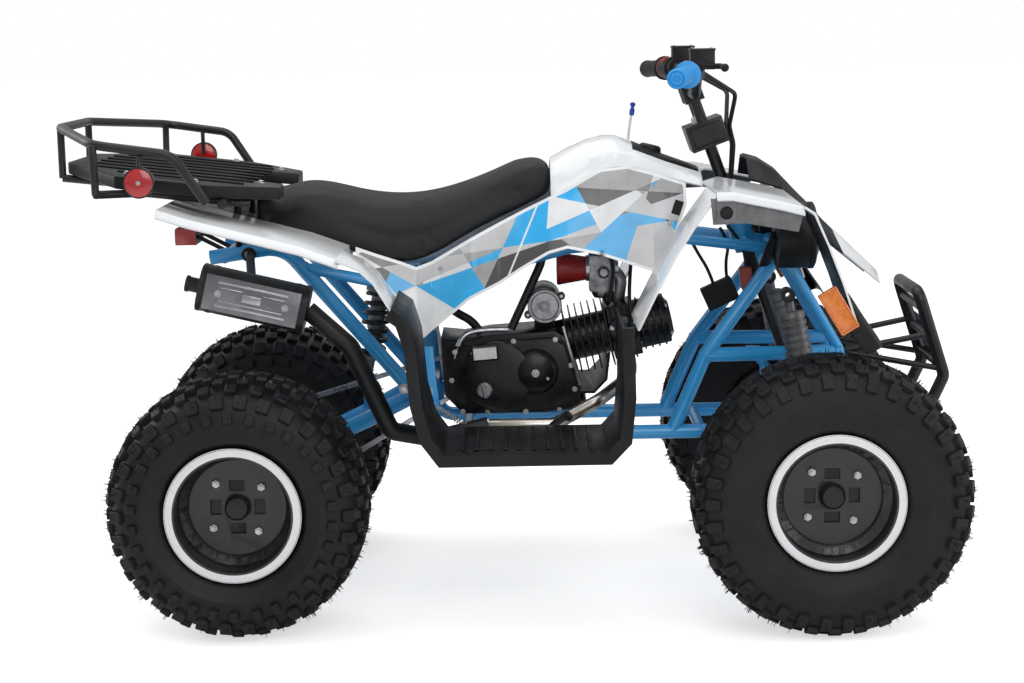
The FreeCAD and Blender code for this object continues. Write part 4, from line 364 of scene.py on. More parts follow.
def tyre_at(name, node, body, kind, outward, seed):
    """Build one tyre about the Y axis, then set it on its wheel's centre."""
    low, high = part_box(node)
    centre = (low + high) / 2
    work = bmesh.new()
    spun(work, carcass_profile(kind), tyre_steps)
    chance = random.Random(seed)
    tips = []
    for row in kind["lug_rows"]:
        knob = block((kind["lug"] * knob_height_share, row["wide"], row["long"]), knob_edge)
        sides = (1,) if row["across"] == 0 else (1, -1)
        for side in sides:
            spots = []
            for index in range(kind["lugs_in_row"]):
                step = index + row["phase"] + (0.5 if side < 0 else 0)
                turn = 2 * math.pi * step / kind["lugs_in_row"]
                turn += chance.uniform(-knob_scatter, knob_scatter)
                reach = kind["radius"] - row["sink"] - kind["lug"] * knob_sunk_share
                spot = (Matrix.Rotation(turn, 4, "Y")
                        @ Matrix.Translation((reach, row["across"] * side, 0))
                        @ Matrix.Rotation(math.radians(row["tilt"]) * side, 4, "Z"))
                spots.append(spot)
                tips.append(spot @ Matrix.Translation((kind["lug"] * knob_sunk_share, 0, 0)))
            repeated(work, knob, spots)
    bead_rib_side = kind["half_width"] * bead_rib_side_share * outward
    repeated(work, block(bead_rib_size, bead_rib_edge), [
        Matrix.Rotation(2 * math.pi * index / bead_rib_count, 4, "Y")
        @ Matrix.Translation((kind["bead"] + bead_rib_size[0], bead_rib_side, 0))
        @ Matrix.Rotation(bead_rib_lean * outward, 4, "Z")
        for index in range(bead_rib_count)
    ])
    hair_work = bmesh.new()
    bmesh.ops.create_cone(hair_work, cap_ends=True, segments=4, radius1=hair_radius,
                          radius2=hair_radius / 3, depth=hair_length)
    hair = kept(hair_work, "hair")
    hairs = []
    for _ in range(hair_count):
        tip = chance.choice(tips)
        lean = (Matrix.Rotation(chance.uniform(-hair_lean, hair_lean), 4, "Z")
                @ Matrix.Rotation(math.pi / 2, 4, "Y"))
        across, along = (chance.uniform(-1, 1) * reach for reach in hair_reach)
        stand = tip @ Matrix.Translation((hair_length * hair_out_share, across, along)) @ lean
        if (stand.translation + centre).z > hair_length:
            hairs.append(stand)
    repeated(work, hair, hairs)
    bmesh.ops.translate(work, vec=centre, verts=work.verts)
    tyre = sharpened(piece_from(work, name, tyre_rubber, body))
    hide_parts(node)


wheels = {
    "front_right": {"kind": "front", "body": "front_wheel_right", "outward": -1, "seed": 11},
    "front_left": {"kind": "front", "body": "front_wheel_left", "outward": 1, "seed": 12},
    "rear_right": {"kind": "rear", "body": "rear_axle", "outward": -1, "seed": 13},
    "rear_left": {"kind": "rear", "body": "rear_axle", "outward": 1, "seed": 14},
}
for corner, wheel in wheels.items():
    end, side_name = corner.split("_")
    tyre_at(f"{corner}_tyre", f"{end}_tyre_{side_name}", wheel["body"], tyre_kinds[wheel["kind"]],
            wheel["outward"], wheel["seed"])


# Rims: pressed steel, satin black inside the dish, with a white ring painted round the outer lip
# and four plated nuts on studs round a black cap.

rear_axle_x = sum(corner.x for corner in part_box("rear_tyre_right")) / 2
weld_gap = 0.02 * MM
flat_turn = math.radians(0.6)
eased_angle = math.radians(38)


def at(station, side, height):
    """A place given in millimetres ahead of the rear axle, to the rider's left and above the ground."""
    return Vector((rear_axle_x + station * MM, side * MM, height * MM))


def joined_copy(node):
    """A copy of one of the frame's own pieces with its loose triangles joined up."""
    work = bmesh.new()
    work.from_mesh(nodes[node].data)
    bmesh.ops.remove_doubles(work, verts=work.verts, dist=weld_gap)
    bmesh.ops.dissolve_limit(work, angle_limit=flat_turn, verts=work.verts, edges=work.edges)
    return work


def eased(node, ending, material, edge=0.8 * MM):
    """Stand a copy with eased edges and smooth rounds in for one of the frame's own pieces."""
    made = piece_from(joined_copy(node), f"{node}_{ending}", material,
                      body_of(nodes[node])[0])
    rounding = made.modifiers.new("eased_edges", "BEVEL")
    rounding.width = edge
    rounding.segments = 2
    rounding.limit_method = "ANGLE"
    rounding.angle_limit = eased_angle
    rounding.harden_normals = True
    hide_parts(node)
    return made


rim_black = finish_of("rim_black", (0.012, 0.012, 0.013), (0.018, 0.018, 0.019), rough=0.3, spread=0.12,
                      patch_scale=18, grain_scale=500, depth=0.04 * MM, coat=0.35)
rim_white = finish_of("rim_white", (0.82, 0.82, 0.83), (0.78, 0.78, 0.79), rough=0.28, spread=0.1,
                      patch_scale=30, grain_scale=700, depth=0.03 * MM, coat=0.4)
nut_plate = finish_of("nut_plate", (0.6, 0.6, 0.61), (0.45, 0.45, 0.46), rough=0.26, spread=0.2,
                      patch_scale=90, grain_scale=900, depth=0.03 * MM, metal=1)
ring_outer = 117 * MM
ring_inner = 102 * MM
ring_proud = 1.2 * MM
nut_circle = 55 * MM
nut_radius = 8 * MM
nut_height = 9 * MM
stud_radius = 4.5 * MM
stud_height = 14 * MM
first_nut = 40
taper_share = 0.86
disc_depths = {"front": 62 * MM, "rear": 72 * MM}
for corner, wheel in wheels.items():
    end, side_name = corner.split("_")
    rim_node = f"{end}_rim_{side_name}"
    low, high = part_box(rim_node)
    centre = (low + high) / 2
    outward = wheel["outward"]
    face = high.y if outward > 0 else low.y
    ring = bmesh.new()
    spun(ring, [
        (ring_inner, face - outward * 3 * MM),
        (ring_inner + 1 * MM, face + outward * ring_proud * 0.6),
        (ring_outer - 4 * MM, face + outward * ring_proud),
        (ring_outer, face - outward * 1 * MM),
        (ring_outer - 1 * MM, face - outward * 5 * MM),
    ], tyre_steps)
    bmesh.ops.translate(ring, vec=(centre.x, 0, centre.z), verts=ring.verts)
    sharpened(piece_from(ring, f"{corner}_lip_ring", rim_white, wheel["body"]), 50)
    nuts = bmesh.new()
    disc_face = face - outward * disc_depths[end]
    for quarter in range(4):
        turn = math.radians(first_nut + 90 * quarter)
        spot = Vector((math.cos(turn) * nut_circle, 0, math.sin(turn) * nut_circle))
        for radius, height, segments in ((nut_radius, nut_height, 6), (stud_radius, stud_height, 16)):
            made = bmesh.ops.create_cone(nuts, cap_ends=True, segments=segments, radius1=radius,
                                         radius2=radius * taper_share, depth=height)
            seat_turn = Matrix.Rotation(-math.pi / 2 * outward, 4, "X")
            bmesh.ops.transform(nuts, verts=made["verts"], matrix=Matrix.Translation(
                spot + Vector((centre.x, disc_face + outward * height / 2, centre.z))) @ seat_turn)
    piece_from(nuts, f"{corner}_nuts", nut_plate, wheel["body"], smooth=False)
for rim_node in ["front_rim_right", "front_rim_left", "rear_rim_right", "rear_rim_left"]:
    eased(rim_node, "pressing", rim_black)


# Frame, swing arm and wishbones: round steel tube bent and welded together, powder coated sky blue,
# with a row of small weld beads where one tube is coped onto another, and plated bolts at the pivots.

def facing(direction):
    """The turn that stands a shape drawn along Z along another direction."""
    return Vector(direction).to_track_quat("Z", "Y").to_matrix().to_4x4()


def bolt_on(work, place, direction, radius, height):
    """A hexagon head on a washer, with a chamfered top."""
    turn = Matrix.Translation(place) @ facing(direction)
    for segments, low, high, start, tall in (
        (20, radius * 1.35, radius * 1.3, 0, height * 0.25),
        (6, radius, radius, height * 0.25, height * 0.55),
        (6, radius, radius * 0.78, height * 0.8, height * 0.2),
    ):
        made = bmesh.ops.create_cone(work, cap_ends=True, segments=segments, radius1=low, radius2=high,
                                     depth=tall)
        bmesh.ops.transform(work, verts=made["verts"],
                            matrix=turn @ Matrix.Translation((0, 0, start + tall / 2)))


def bolts(name, rows, body="chassis"):
    """A set of plated bolts, each given as place, direction and head radius."""
    work = bmesh.new()
    for place, direction, radius in rows:
        bolt_on(work, place, direction, radius * MM, radius * 0.9 * MM)
    piece_from(work, name, nut_plate, body, smooth=False)


frame_enamel = finish_of("frame_enamel", (0.04, 0.4, 0.84), (0.035, 0.36, 0.79), rough=0.28, spread=0.1,
                         patch_scale=10, grain_scale=300, depth=0.05 * MM, coat=0.6)
weld_enamel = finish_of("weld_enamel", (0.03, 0.29, 0.68), (0.025, 0.24, 0.6), rough=0.38, spread=0.12,
                        patch_scale=90, grain_scale=500, depth=0.2 * MM, coat=0.3)
bead_radius = 2.1 * MM
bead_pitch = 4.5 * MM
bead_turn = math.radians(-30)
bead_work = bmesh.new()
bmesh.ops.create_icosphere(bead_work, subdivisions=1, radius=bead_radius)
bead = kept(bead_work, "bead")
for frame_node in ["frame_lower", "frame_front", "frame_rear", "frame_upper", "swing_arm", "upper_arms",
                   "lower_arms"]:
    tube_work = joined_copy(frame_node)
    bead_spots = []
    run_on = 0
    for edge in tube_work.edges:
        if edge.is_manifold and edge.calc_face_angle_signed() < bead_turn:
            start, end = (corner.co for corner in edge.verts)
            length = (end - start).length
            run_on += length
            while run_on > bead_pitch:
                run_on -= bead_pitch
                bead_spots.append(Matrix.Translation(end.lerp(start, min(run_on / length, 1))))
    tube_work.free()
    eased(frame_node, "tubes", frame_enamel, 0.6 * MM)
    if bead_spots:
        weld_work = bmesh.new()
        repeated(weld_work, bead, bead_spots)
        piece_from(weld_work, f"{frame_node}_welds", weld_enamel,
                   body_of(nodes[frame_node])[0])
pivot_rows = []
for side in (-1, 1):
    for station, across, height, radius in (
        (320, 106, 381, 9), (280, 118, 390, 7), (240, 24, 583, 7), (205, 15, 392, 6),
        (939, 114, 408, 6), (1095, 114, 408, 6), (945, 100, 262, 6), (1105, 100, 262, 6),
    ):
        pivot_rows.append((at(station, across * side, height), (0, side, 0), radius))
bolts("frame_bolts", pivot_rows)
arm_black = finish_of("arm_black", (0.01, 0.01, 0.011), (0.018, 0.018, 0.019), rough=0.3, spread=0.14,
                      patch_scale=16, grain_scale=420, depth=0.06 * MM, coat=0.1, shine=0.34)
for black_node in ["knuckle_left", "knuckle_right", "front_hub_left", "front_hub_right", "rear_axle",
                   "tie_rod_left", "tie_rod_right", "rear_caliper"]:
    eased(black_node, "steel", arm_black, 0.7 * MM)

# Body panels: glossy white moulded plastic, with the edges left round by the mould. The cowl is
# black with a white nose, and the front fender's drop in front of each wheel is black.

panel_white = finish_of("panel_white", (0.82, 0.83, 0.84), (0.79, 0.8, 0.81), rough=0.2, spread=0.08,
                        patch_scale=6, grain_scale=900, depth=0.03 * MM, coat=0.6)
panel_black = finish_of("panel_black", (0.008, 0.008, 0.009), (0.015, 0.015, 0.016), rough=0.36,
                        spread=0.14, patch_scale=14, grain_scale=1400, depth=0.12 * MM, shine=0.24)
panel_edge = 1.2 * MM


def cut_through(work, place, way, clear=False):
    """Cut a bmesh along a plane, and clear what lies beyond it when asked to."""
    bmesh.ops.bisect_plane(work, geom=work.verts[:] + work.edges[:] + work.faces[:], plane_co=place,
                           plane_no=way, clear_outer=clear)


eased("rear_fender", "moulding", panel_white, panel_edge)
fender = eased("front_fender", "moulding", panel_white, panel_edge)
eased("tank_cover", "moulding", panel_white, panel_edge)
cowl = eased("front_cowl", "moulding", panel_black, panel_edge)
for panel, second, border, way, widest in (
    (cowl, panel_white, at(1062, 0, 660), Vector((1, 0, 0.35)), 2),
    (fender, panel_black, at(984, 0, 720), Vector((1, 0, -0.3)), 0.7),
):
    panel.data.materials.append(second)
    cut_work = bmesh.new()
    cut_work.from_mesh(panel.data)
    cut_through(cut_work, border, way)
    for face in cut_work.faces:
        if (face.calc_center_median() - border).dot(way) > 0 and abs(face.normal.y) < widest:
            face.material_index = 1
    cut_work.to_mesh(panel.data)
    cut_work.free()

# Printed sheet on the side panels: hard-edged shards of sky blue, greys and white inside a plain white
# margin, with a narrow white line over the panel joint. Each cut between shards is a place ahead of the
# middle, a height and a slope in degrees.

shard_cuts = [
    (-232, 560, 66), (-196, 596, -30), (-150, 600, 78), (-128, 590, 18), (-84, 640, -58), (-40, 640, 8),
    (2, 668, 64), (34, 700, -34), (72, 700, 84), (104, 690, 22), (140, 720, -62), (166, 668, 40),
    (204, 706, -12), (236, 690, 70), (272, 700, -48), (60, 752, -4),
]
shard_shades = [
    ((0.016, 0.45, 0.9), 5), ((0.4, 0.395, 0.39), 3), ((0.2, 0.19, 0.185), 2), ((0.6, 0.6, 0.61), 3),
    ((0.84, 0.85, 0.86), 3), ((0.07, 0.066, 0.066), 1),
]
shard_seed = 12
margin = 5.5 * MM
sheet_lift = 0.35 * MM
sheet_step = 14 * MM
joint_line = (46, 700, 66)
joint_half = 1.6 * MM
joint_white = (0.86, 0.87, 0.88)
sheet_facing = 0.35
sheet_rounds = 5

printed = bpy.data.materials.new("printed_shards")
printed.use_nodes = True
printed_tree = printed.node_tree
printed_shader = printed_tree.nodes["Principled BSDF"]
shard_colour = printed_tree.nodes.new("ShaderNodeAttribute")
shard_colour.attribute_name = "shard"
edge_distance = printed_tree.nodes.new("ShaderNodeAttribute")
edge_distance.attribute_name = "margin"
inside = printed_tree.nodes.new("ShaderNodeMath")
inside.operation = "GREATER_THAN"
inside.inputs[1].default_value = margin
print_grain = printed_tree.nodes.new("ShaderNodeGroup")
print_grain.node_tree = surface
for socket_name, value in (("Patch Scale", 9), ("Grain Scale", 900), ("Roughness", 0.2),
                           ("Roughness Spread", 0.08)):
    print_grain.inputs[socket_name].default_value = value
deeper = printed_tree.nodes.new("ShaderNodeMix")
deeper.data_type = "RGBA"
deeper.blend_type = "MULTIPLY"
deeper.inputs["Factor"].default_value = 1
deeper.inputs["B"].default_value = (0.72, 0.72, 0.72, 1)
with_margin = printed_tree.nodes.new("ShaderNodeMix")
with_margin.data_type = "RGBA"
with_margin.inputs["A"].default_value = (0.82, 0.83, 0.84, 1)
printed_shader.inputs["Coat Weight"].default_value = 0.6
printed_shader.inputs["Coat Roughness"].default_value = 0.12
for output, socket in (
    (shard_colour.outputs["Color"], print_grain.inputs["Colour"]),
    (shard_colour.outputs["Color"], deeper.inputs["A"]),
    (deeper.outputs["Result"], print_grain.inputs["Second Colour"]),
    (edge_distance.outputs["Fac"], inside.inputs[0]),
    (inside.outputs[0], with_margin.inputs["Factor"]),
    (print_grain.outputs["Colour"], with_margin.inputs["B"]),
    (with_margin.outputs["Result"], printed_shader.inputs["Base Color"]),
    (print_grain.outputs["Roughness"], printed_shader.inputs["Roughness"]),
):
    printed_tree.links.new(output, socket)


def reach_to(point, start, end):
    """How far a point is from a straight edge."""
    run = end - start
    share = max(0, min(1, (point - start).dot(run) / max(run.length_squared, 1e-12)))
    return (point - start - run * share).length


def cut_plane(cut):
    """A point and a normal of the plane that cuts the sheet along one line of the design."""
    x, z, angle = cut
    return Vector((x * MM, 0, z * MM)), Vector((-math.sin(math.radians(angle)), 0,
                                                math.cos(math.radians(angle))))


def printed_sheet(side, name):
    """The outward faces of one side panel as a thin sheet, cut into shards and coloured shard by shard."""
    work = joined_copy("side_panels")
    hidden = [face for face in work.faces
              if face.normal.y * side < sheet_facing or face.calc_center_median().y * side < 0]
    bmesh.ops.delete(work, geom=hidden, context="FACES")
    outline = [(edge.verts[0].co.copy(), edge.verts[1].co.copy())
               for edge in work.edges if edge.is_boundary]
    bmesh.ops.triangulate(work, faces=work.faces[:])
    for _ in range(sheet_rounds):
        long_edges = [edge for edge in work.edges if edge.calc_length() > sheet_step]
        if long_edges:
            bmesh.ops.subdivide_edges(work, edges=long_edges, cuts=1)
            bmesh.ops.triangulate(work, faces=work.faces[:])
    planes = [cut_plane(cut) for cut in shard_cuts]
    joint_co, joint_no = cut_plane(joint_line)
    for co, no in planes + [(joint_co + joint_no * joint_half, joint_no),
                            (joint_co - joint_no * joint_half, joint_no)]:
        cut_through(work, co, no)
    distance = work.verts.layers.float.new("margin")
    for corner in work.verts:
        corner[distance] = min(reach_to(corner.co, start, end) for start, end in outline)
    shade = work.loops.layers.float_color.new("shard")
    chance = random.Random(shard_seed)
    shades = [colour for colour, weight in shard_shades for _ in range(weight)]
    chosen = {}
    for face in sorted(work.faces, key=lambda face: round(face.calc_center_median().x, 5)):
        middle = face.calc_center_median()
        key = tuple((middle - co).dot(no) > 0 for co, no in planes)
        if key not in chosen:
            chosen[key] = chance.choice(shades)
        colour = chosen[key]
        if abs((middle - joint_co).dot(joint_no)) < joint_half:
            colour = joint_white
        for loop in face.loops:
            loop[shade] = (*colour, 1)
    bmesh.ops.translate(work, vec=(0, side * sheet_lift, 0), verts=work.verts)
    data = kept(work, name)
    data.materials.append(printed)
    for face in data.polygons:
        face.use_smooth = True
    made = bpy.data.objects.new(name, data)
    collection.objects.link(made)
    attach(made, "chassis")


eased("side_panels", "moulding", panel_white, 0.8 * MM)
printed_sheet(-1, "side_print_right")
printed_sheet(1, "side_print_left")

# Seat: one long foam pad under smooth black vinyl, stuffed tight over its base, with a fine leather
# grain and soft rounded shoulders.

seat_vinyl = finish_of("seat_vinyl", (0.01, 0.01, 0.011), (0.016, 0.016, 0.017), rough=0.44, spread=0.1,
                       patch_scale=8, grain_scale=520, depth=0.35 * MM, shine=0.28)
seat_voxel = 5 * MM
seat_cap = 7 * MM
seat_smoothings = 14
seat_smooth_share = 0.5
seat_base_facing = -0.6
seat_frames = 20
seat_work = joined_copy("seat")
bmesh.ops.triangulate(seat_work, faces=seat_work.faces[:])
seat_pad = piece_from(seat_work, "seat_pad", seat_vinyl)
voxels = seat_pad.modifiers.new("voxels", "REMESH")
voxels.mode = "VOXEL"
voxels.voxel_size = seat_voxel
even = bpy.data.meshes.new_from_object(seat_pad.evaluated_get(bpy.context.evaluated_depsgraph_get()))
seat_pad.modifiers.remove(voxels)
smoothed = bmesh.new()
smoothed.from_mesh(even)
base = [corner.index for corner in smoothed.verts if corner.normal.z < seat_base_facing]
for _ in range(seat_smoothings):
    bmesh.ops.smooth_vert(smoothed, verts=smoothed.verts, factor=seat_smooth_share, use_axis_x=True,
                          use_axis_y=True, use_axis_z=True)
smoothed.to_mesh(even)
smoothed.free()
seat_pad.data = even
even.materials.clear()
even.materials.append(seat_vinyl)
held = seat_pad.vertex_groups.new(name="held")
held.add(base, 1, "REPLACE")
stuffing = seat_pad.modifiers.new("stuffing", "CLOTH")
stuffing.settings.use_pressure = True
stuffing.settings.uniform_pressure_force = 4
stuffing.settings.vertex_group_mass = "held"
stuffing.settings.effector_weights.gravity = 0
stuffing.point_cache.frame_start = 1
stuffing.point_cache.frame_end = seat_frames
for frame_number in range(1, seat_frames + 1):
    bpy.context.scene.frame_set(frame_number)
swollen = bpy.data.meshes.new_from_object(
    seat_pad.evaluated_get(bpy.context.evaluated_depsgraph_get()))
for resting, moved in zip(even.vertices, swollen.vertices):
    step = moved.co - resting.co
    if step.length > seat_cap:
        moved.co = resting.co + step.normalized() * seat_cap
seat_pad.modifiers.remove(stuffing)
seat_pad.data = swollen
bpy.context.scene.frame_set(1)
for face in seat_pad.data.polygons:
    face.use_smooth = True
finer = seat_pad.modifiers.new("finer", "SUBSURF")
finer.levels = 1
finer.render_levels = 1
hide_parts("seat")

# Engine: air-cooled single. Cast cases under satin black paint, joined by cap screws, with a round
# clutch boss, a bright filler cap, a blank plate on its pad, and a finned barrel leaning forward.

engine_black = finish_of("engine_black", (0.005, 0.005, 0.006), (0.01, 0.01, 0.011), rough=0.26,
                         spread=0.16, patch_scale=30, grain_scale=420, depth=0.22 * MM, coat=0.12,
                         shine=0.32)
cast_alloy = finish_of("cast_alloy", (0.42, 0.42, 0.43), (0.26, 0.26, 0.27), rough=0.36, spread=0.2,
                       patch_scale=60, grain_scale=420, depth=0.3 * MM, metal=1)
blank_plate = finish_of("blank_plate", (0.74, 0.75, 0.74), (0.6, 0.61, 0.6), rough=0.3, spread=0.1,
                        patch_scale=120, grain_scale=700, depth=0.02 * MM, metal=0.3)
for casting, casting_edge in (("engine_case", 1.4), ("engine_cylinder", 0.5), ("engine_head", 1.4)):
    eased(casting, "casting", engine_black, casting_edge * MM)


def turned_piece(name, profile, place, direction, material, body="chassis", steps=48):
    """A round piece turned from a closed run of (radius, height) points, in millimetres."""
    work = bmesh.new()
    spun(work, [(radius * MM, height * MM) for radius, height in profile], steps)
    bmesh.ops.remove_doubles(work, verts=work.verts, dist=weld_gap)
    stand = Matrix.Translation(place) @ facing(direction) @ Matrix.Rotation(math.pi / 2, 4, "X")
    bmesh.ops.transform(work, verts=work.verts, matrix=stand)
    return sharpened(piece_from(work, name, material, body))


def swept(name, points, radius, material, order=3):
    """A round tube or hose along a smooth line through a few places."""
    line = bpy.data.curves.new(name, "CURVE")
    line.dimensions = "3D"
    line.bevel_depth = radius * MM
    line.bevel_resolution = 3
    line.use_fill_caps = True
    line.resolution_u = 8
    run = line.splines.new("NURBS")
    run.points.add(len(points) - 1)
    for spot, place in zip(run.points, points):
        spot.co = (*place, 1)
    run.order_u = order
    run.use_endpoint_u = True
    rope = bpy.data.objects.new(name, line)
    collection.objects.link(rope)
    data = bpy.data.meshes.new_from_object(rope.evaluated_get(bpy.context.evaluated_depsgraph_get()))
    bpy.data.objects.remove(rope)
    work = bmesh.new()
    work.from_mesh(data)
    bmesh.ops.remove_doubles(work, verts=work.verts, dist=weld_gap)
    return sharpened(piece_from(work, name, material), 50)


def slab(name, size, place, direction, roll, bevel, material, body="chassis"):
    """A flat moulded or cut plate: width, height and thickness, facing a direction and rolled in it."""
    data = block(tuple(length * MM for length in size), bevel * MM, 2)
    work = bmesh.new()
    work.from_mesh(data)
    bmesh.ops.transform(work, verts=work.verts, matrix=Matrix.Translation(place) @ facing(direction)
                        @ Matrix.Rotation(math.radians(roll), 4, "Z"))
    return piece_from(work, name, material, body, smooth=False)


outward_right = (0, -1, 0)
outward_left = (0, 1, 0)
both_sides = ((-1, "right"), (1, "left"))
turned_piece("clutch_boss_right", [(0.5, 20), (7, 20), (8, 18), (30, 16), (37, 11), (42, 0), (0.5, 0)],
             at(519, -98, 414), outward_right, engine_black)
turned_piece("clutch_boss_left", [(0.5, 22), (22, 22), (26, 18), (50, 16), (57, 10), (58, 0), (0.5, 0)],
             at(449, 98, 409), outward_left, engine_black)
turned_piece("filler_cap", [(0.5, 9), (11, 9), (14, 6), (15, 0), (0.5, 0)], at(426, -113, 384),
             outward_right, cast_alloy)
slab("filler_wing", (7, 27, 9), at(426, -124, 384), outward_right, 12, 2, cast_alloy)
slab("plate_pad", (50, 29, 18), at(428, -105, 451), outward_right, 4, 3, engine_black)
slab("blank_plate", (42, 21, 0.8), at(428, -114.3, 451), outward_right, 4, 0.2, blank_plate)
case_half = 96.5
case_edge = [(373, 452), (366, 400), (385, 342), (430, 340), (500, 340), (562, 342), (590, 380), (584, 424),
             (556, 472), (480, 470)]
case_screws = [(at(station, side * case_half, height), (0, side, 0), 3.6)
               for side in (-1, 1) for station, height in case_edge]
case_screws += [(at(519, -117, 414), outward_right, 5.5), (at(541, -113, 403), outward_right, 3.4),
                (at(404, -111, 451), outward_right, 1.6)]
bolts("case_screws", case_screws)

barrel_turn = math.radians(12)
barrel_run = Vector((math.cos(barrel_turn), 0, math.sin(barrel_turn)))
barrel_up = Vector((-math.sin(barrel_turn), 0, math.cos(barrel_turn)))
barrel_foot = at(574, 0, 455)


def on_barrel(along, side, up):
    """A place measured along the leaning barrel, to the left and square to it."""
    return barrel_foot + barrel_run * along * MM + Vector((0, side * MM, 0)) + barrel_up * up * MM


turned_piece("head_side_cover", [(0.5, 9), (24, 9), (27, 7), (29, 0), (0.5, 0)], on_barrel(112, -52, 2),
             outward_right, engine_black)
turned_piece("head_end_cover", [(0.5, 7), (30, 7), (34, 4), (40, 0), (0.5, 0)], on_barrel(196, 0, 0),
             barrel_run, engine_black)
head_screws = [(on_barrel(112 + 22 * math.cos(turn), -60, 2 + 22 * math.sin(turn)), outward_right, 4)
               for turn in (0.6, 2.7, 4.7)]
for turn in (0.785, 2.356, 3.927, 5.498):
    head_screws.append((on_barrel(195, 36 * math.cos(turn), 36 * math.sin(turn)), barrel_run, 5))
    head_screws.append((on_barrel(136, 44 * math.cos(turn), 40 * math.sin(turn)), barrel_run, 5))
bolts("head_nuts", head_screws)
for ring_index, along in enumerate((146, 159, 172, 185)):
    turned_piece(f"head_ring_{ring_index}", [(44, -2), (50, -1.4), (50, 1.4), (44, 2)],
                 on_barrel(along, 0, 0), barrel_run, engine_black)
head_fin = block((3 * MM, 118 * MM, 104 * MM), 0.8 * MM)
head_fins = bmesh.new()
repeated(head_fins, head_fin, [
    Matrix.Translation(on_barrel(along, 0, 0)) @ Matrix.Rotation(-barrel_turn, 4, "Y")
    for along in (93, 104, 115, 126)
])
piece_from(head_fins, "head_fins", engine_black, smooth=False)

eased("starter_motor", "casting", engine_black, 1.5 * MM)
turned_piece("starter_end", [(0.5, 6), (5, 6), (6, 9), (9, 9), (10, 6), (24, 6), (26, 9), (30, 9),
                             (31.5, 6), (31.5, -12), (0.5, -12)], at(538, -70, 530.5), outward_right,
             cast_alloy)
ear_turn = 0.5
ear_reach = 35 * MM
starter_ear = Vector((math.cos(ear_turn), 0, math.sin(ear_turn))) * ear_reach
bolts("starter_screws", [(at(538, -66, 530.5) + starter_ear * ear_way, outward_right, 4)
                         for ear_way in (1, -1)])
for ear_name, ear_way in (("front", 1), ("rear", -1)):
    turned_piece(f"starter_ear_{ear_name}", [(0.5, 6), (7, 6), (7, -8), (0.5, -8)],
                 at(538, -62, 530.5) + starter_ear * ear_way, outward_right, engine_black)

# Carburettor, filter and the rods and hoses round the engine: die-cast body with a screwed float bowl
# and a cap, a bent alloy inlet pipe, red foam filter, and black rubber hoses with clips.

eased("carburettor", "casting", cast_alloy, 2 * MM)
turned_piece("float_bowl", [(0.5, 0), (17, 0), (19, -3), (19, -16), (14, -24), (0.5, -26)],
             at(645, -6, 560), (0, 0, 1), cast_alloy)
turned_piece("slide_cap", [(0.5, 12), (9, 12), (12, 9), (15, 7), (15, 0), (0.5, 0)], at(645, 0, 614),
             (0, 0, 1), engine_black)
turned_piece("choke_boss", [(0.5, 10), (7, 10), (8, 8), (11, 6), (11, 0), (0.5, 0)], at(648, -26, 585),
             outward_right, cast_alloy)
for clamp_index, (clamp_place, clamp_way, clamp_radius) in enumerate((
    (at(672, 0, 592), (1, 0, 0), 16), (at(620, 0, 590), (1, 0, 0), 22.5),
)):
    turned_piece(f"hose_clamp_{clamp_index}", [(clamp_radius, -4), (clamp_radius + 1.6, -4),
                                               (clamp_radius + 1.6, 4), (clamp_radius, 4)], clamp_place,
                 clamp_way, nut_plate)
filter_red = finish_of("filter_red", (0.42, 0.016, 0.014), (0.3, 0.01, 0.01), rough=0.38, spread=0.15,
                       patch_scale=50, grain_scale=900, depth=0.2 * MM, coat=0.3)
eased("air_filter", "foam", filter_red, 4 * MM)
hose_black = finish_of("hose_black", (0.009, 0.009, 0.01), (0.016, 0.016, 0.017), rough=0.4, spread=0.12,
                       patch_scale=60, grain_scale=700, depth=0.1 * MM, shine=0.3)
swept("fuel_hose",
      [at(648, -20, 540), at(655, -34, 515), at(662, -40, 560), at(668, -36, 610), at(640, -40, 650)], 3.5,
      hose_black)
swept("breather_hose",
      [at(420, -50, 478), at(410, -50, 500), at(370, -46, 520), at(330, -44, 560), at(318, -44, 610)], 8,
      hose_black)
swept("cooler_pipe", [at(372, -92, 440), at(380, -92, 475), at(410, -86, 492), at(470, -84, 490)], 5,
      nut_plate)
swept("plug_lead", [at(690, -62, 478), at(700, -80, 500), at(690, -60, 540), at(700, -30, 620)], 3.5,
      hose_black)
swept("gear_rod", [at(570, -104, 497), at(584, -112, 445), at(599, -104, 389)], 3, nut_plate,
      order=2)
swept("seat_strut", [at(540, -64, 640), at(531, -62, 604), at(476, -62, 488)], 8, arm_black,
      order=2)

# Exhaust: bright bent header, black painted pipe, and an oval silencer over the wheel with rolled end
# bands, a pressed bright shield on two screws, an open outlet and a rubber mount on the frame.

header_chrome = finish_of("header_chrome", (0.62, 0.6, 0.56), (0.42, 0.38, 0.33), rough=0.2, spread=0.16,
                          patch_scale=26, grain_scale=600, depth=0.03 * MM, metal=1)
exhaust_black = finish_of("exhaust_black", (0.01, 0.01, 0.011), (0.018, 0.018, 0.019), rough=0.38,
                          spread=0.14, patch_scale=30, grain_scale=900, depth=0.15 * MM, shine=0.36)
shield_brushed = finish_of("shield_brushed", (0.25, 0.25, 0.26), (0.17, 0.17, 0.18), rough=0.22,
                           spread=0.14, patch_scale=24, grain_scale=300, depth=0.06 * MM, metal=1)
shield_chrome = finish_of("shield_chrome", (0.5, 0.5, 0.51), (0.4, 0.4, 0.41), rough=0.16, spread=0.1,
                          patch_scale=24, grain_scale=300, depth=0.03 * MM, metal=1)
eased("exhaust_header", "bend", header_chrome, 0.6 * MM)
eased("exhaust_pipe", "bend", exhaust_black, 0.6 * MM)
eased("silencer", "can", exhaust_black, 1.5 * MM)
eased("silencer_shield", "plate", shield_brushed, 0.8 * MM)
silencer_turn = math.radians(13.6)
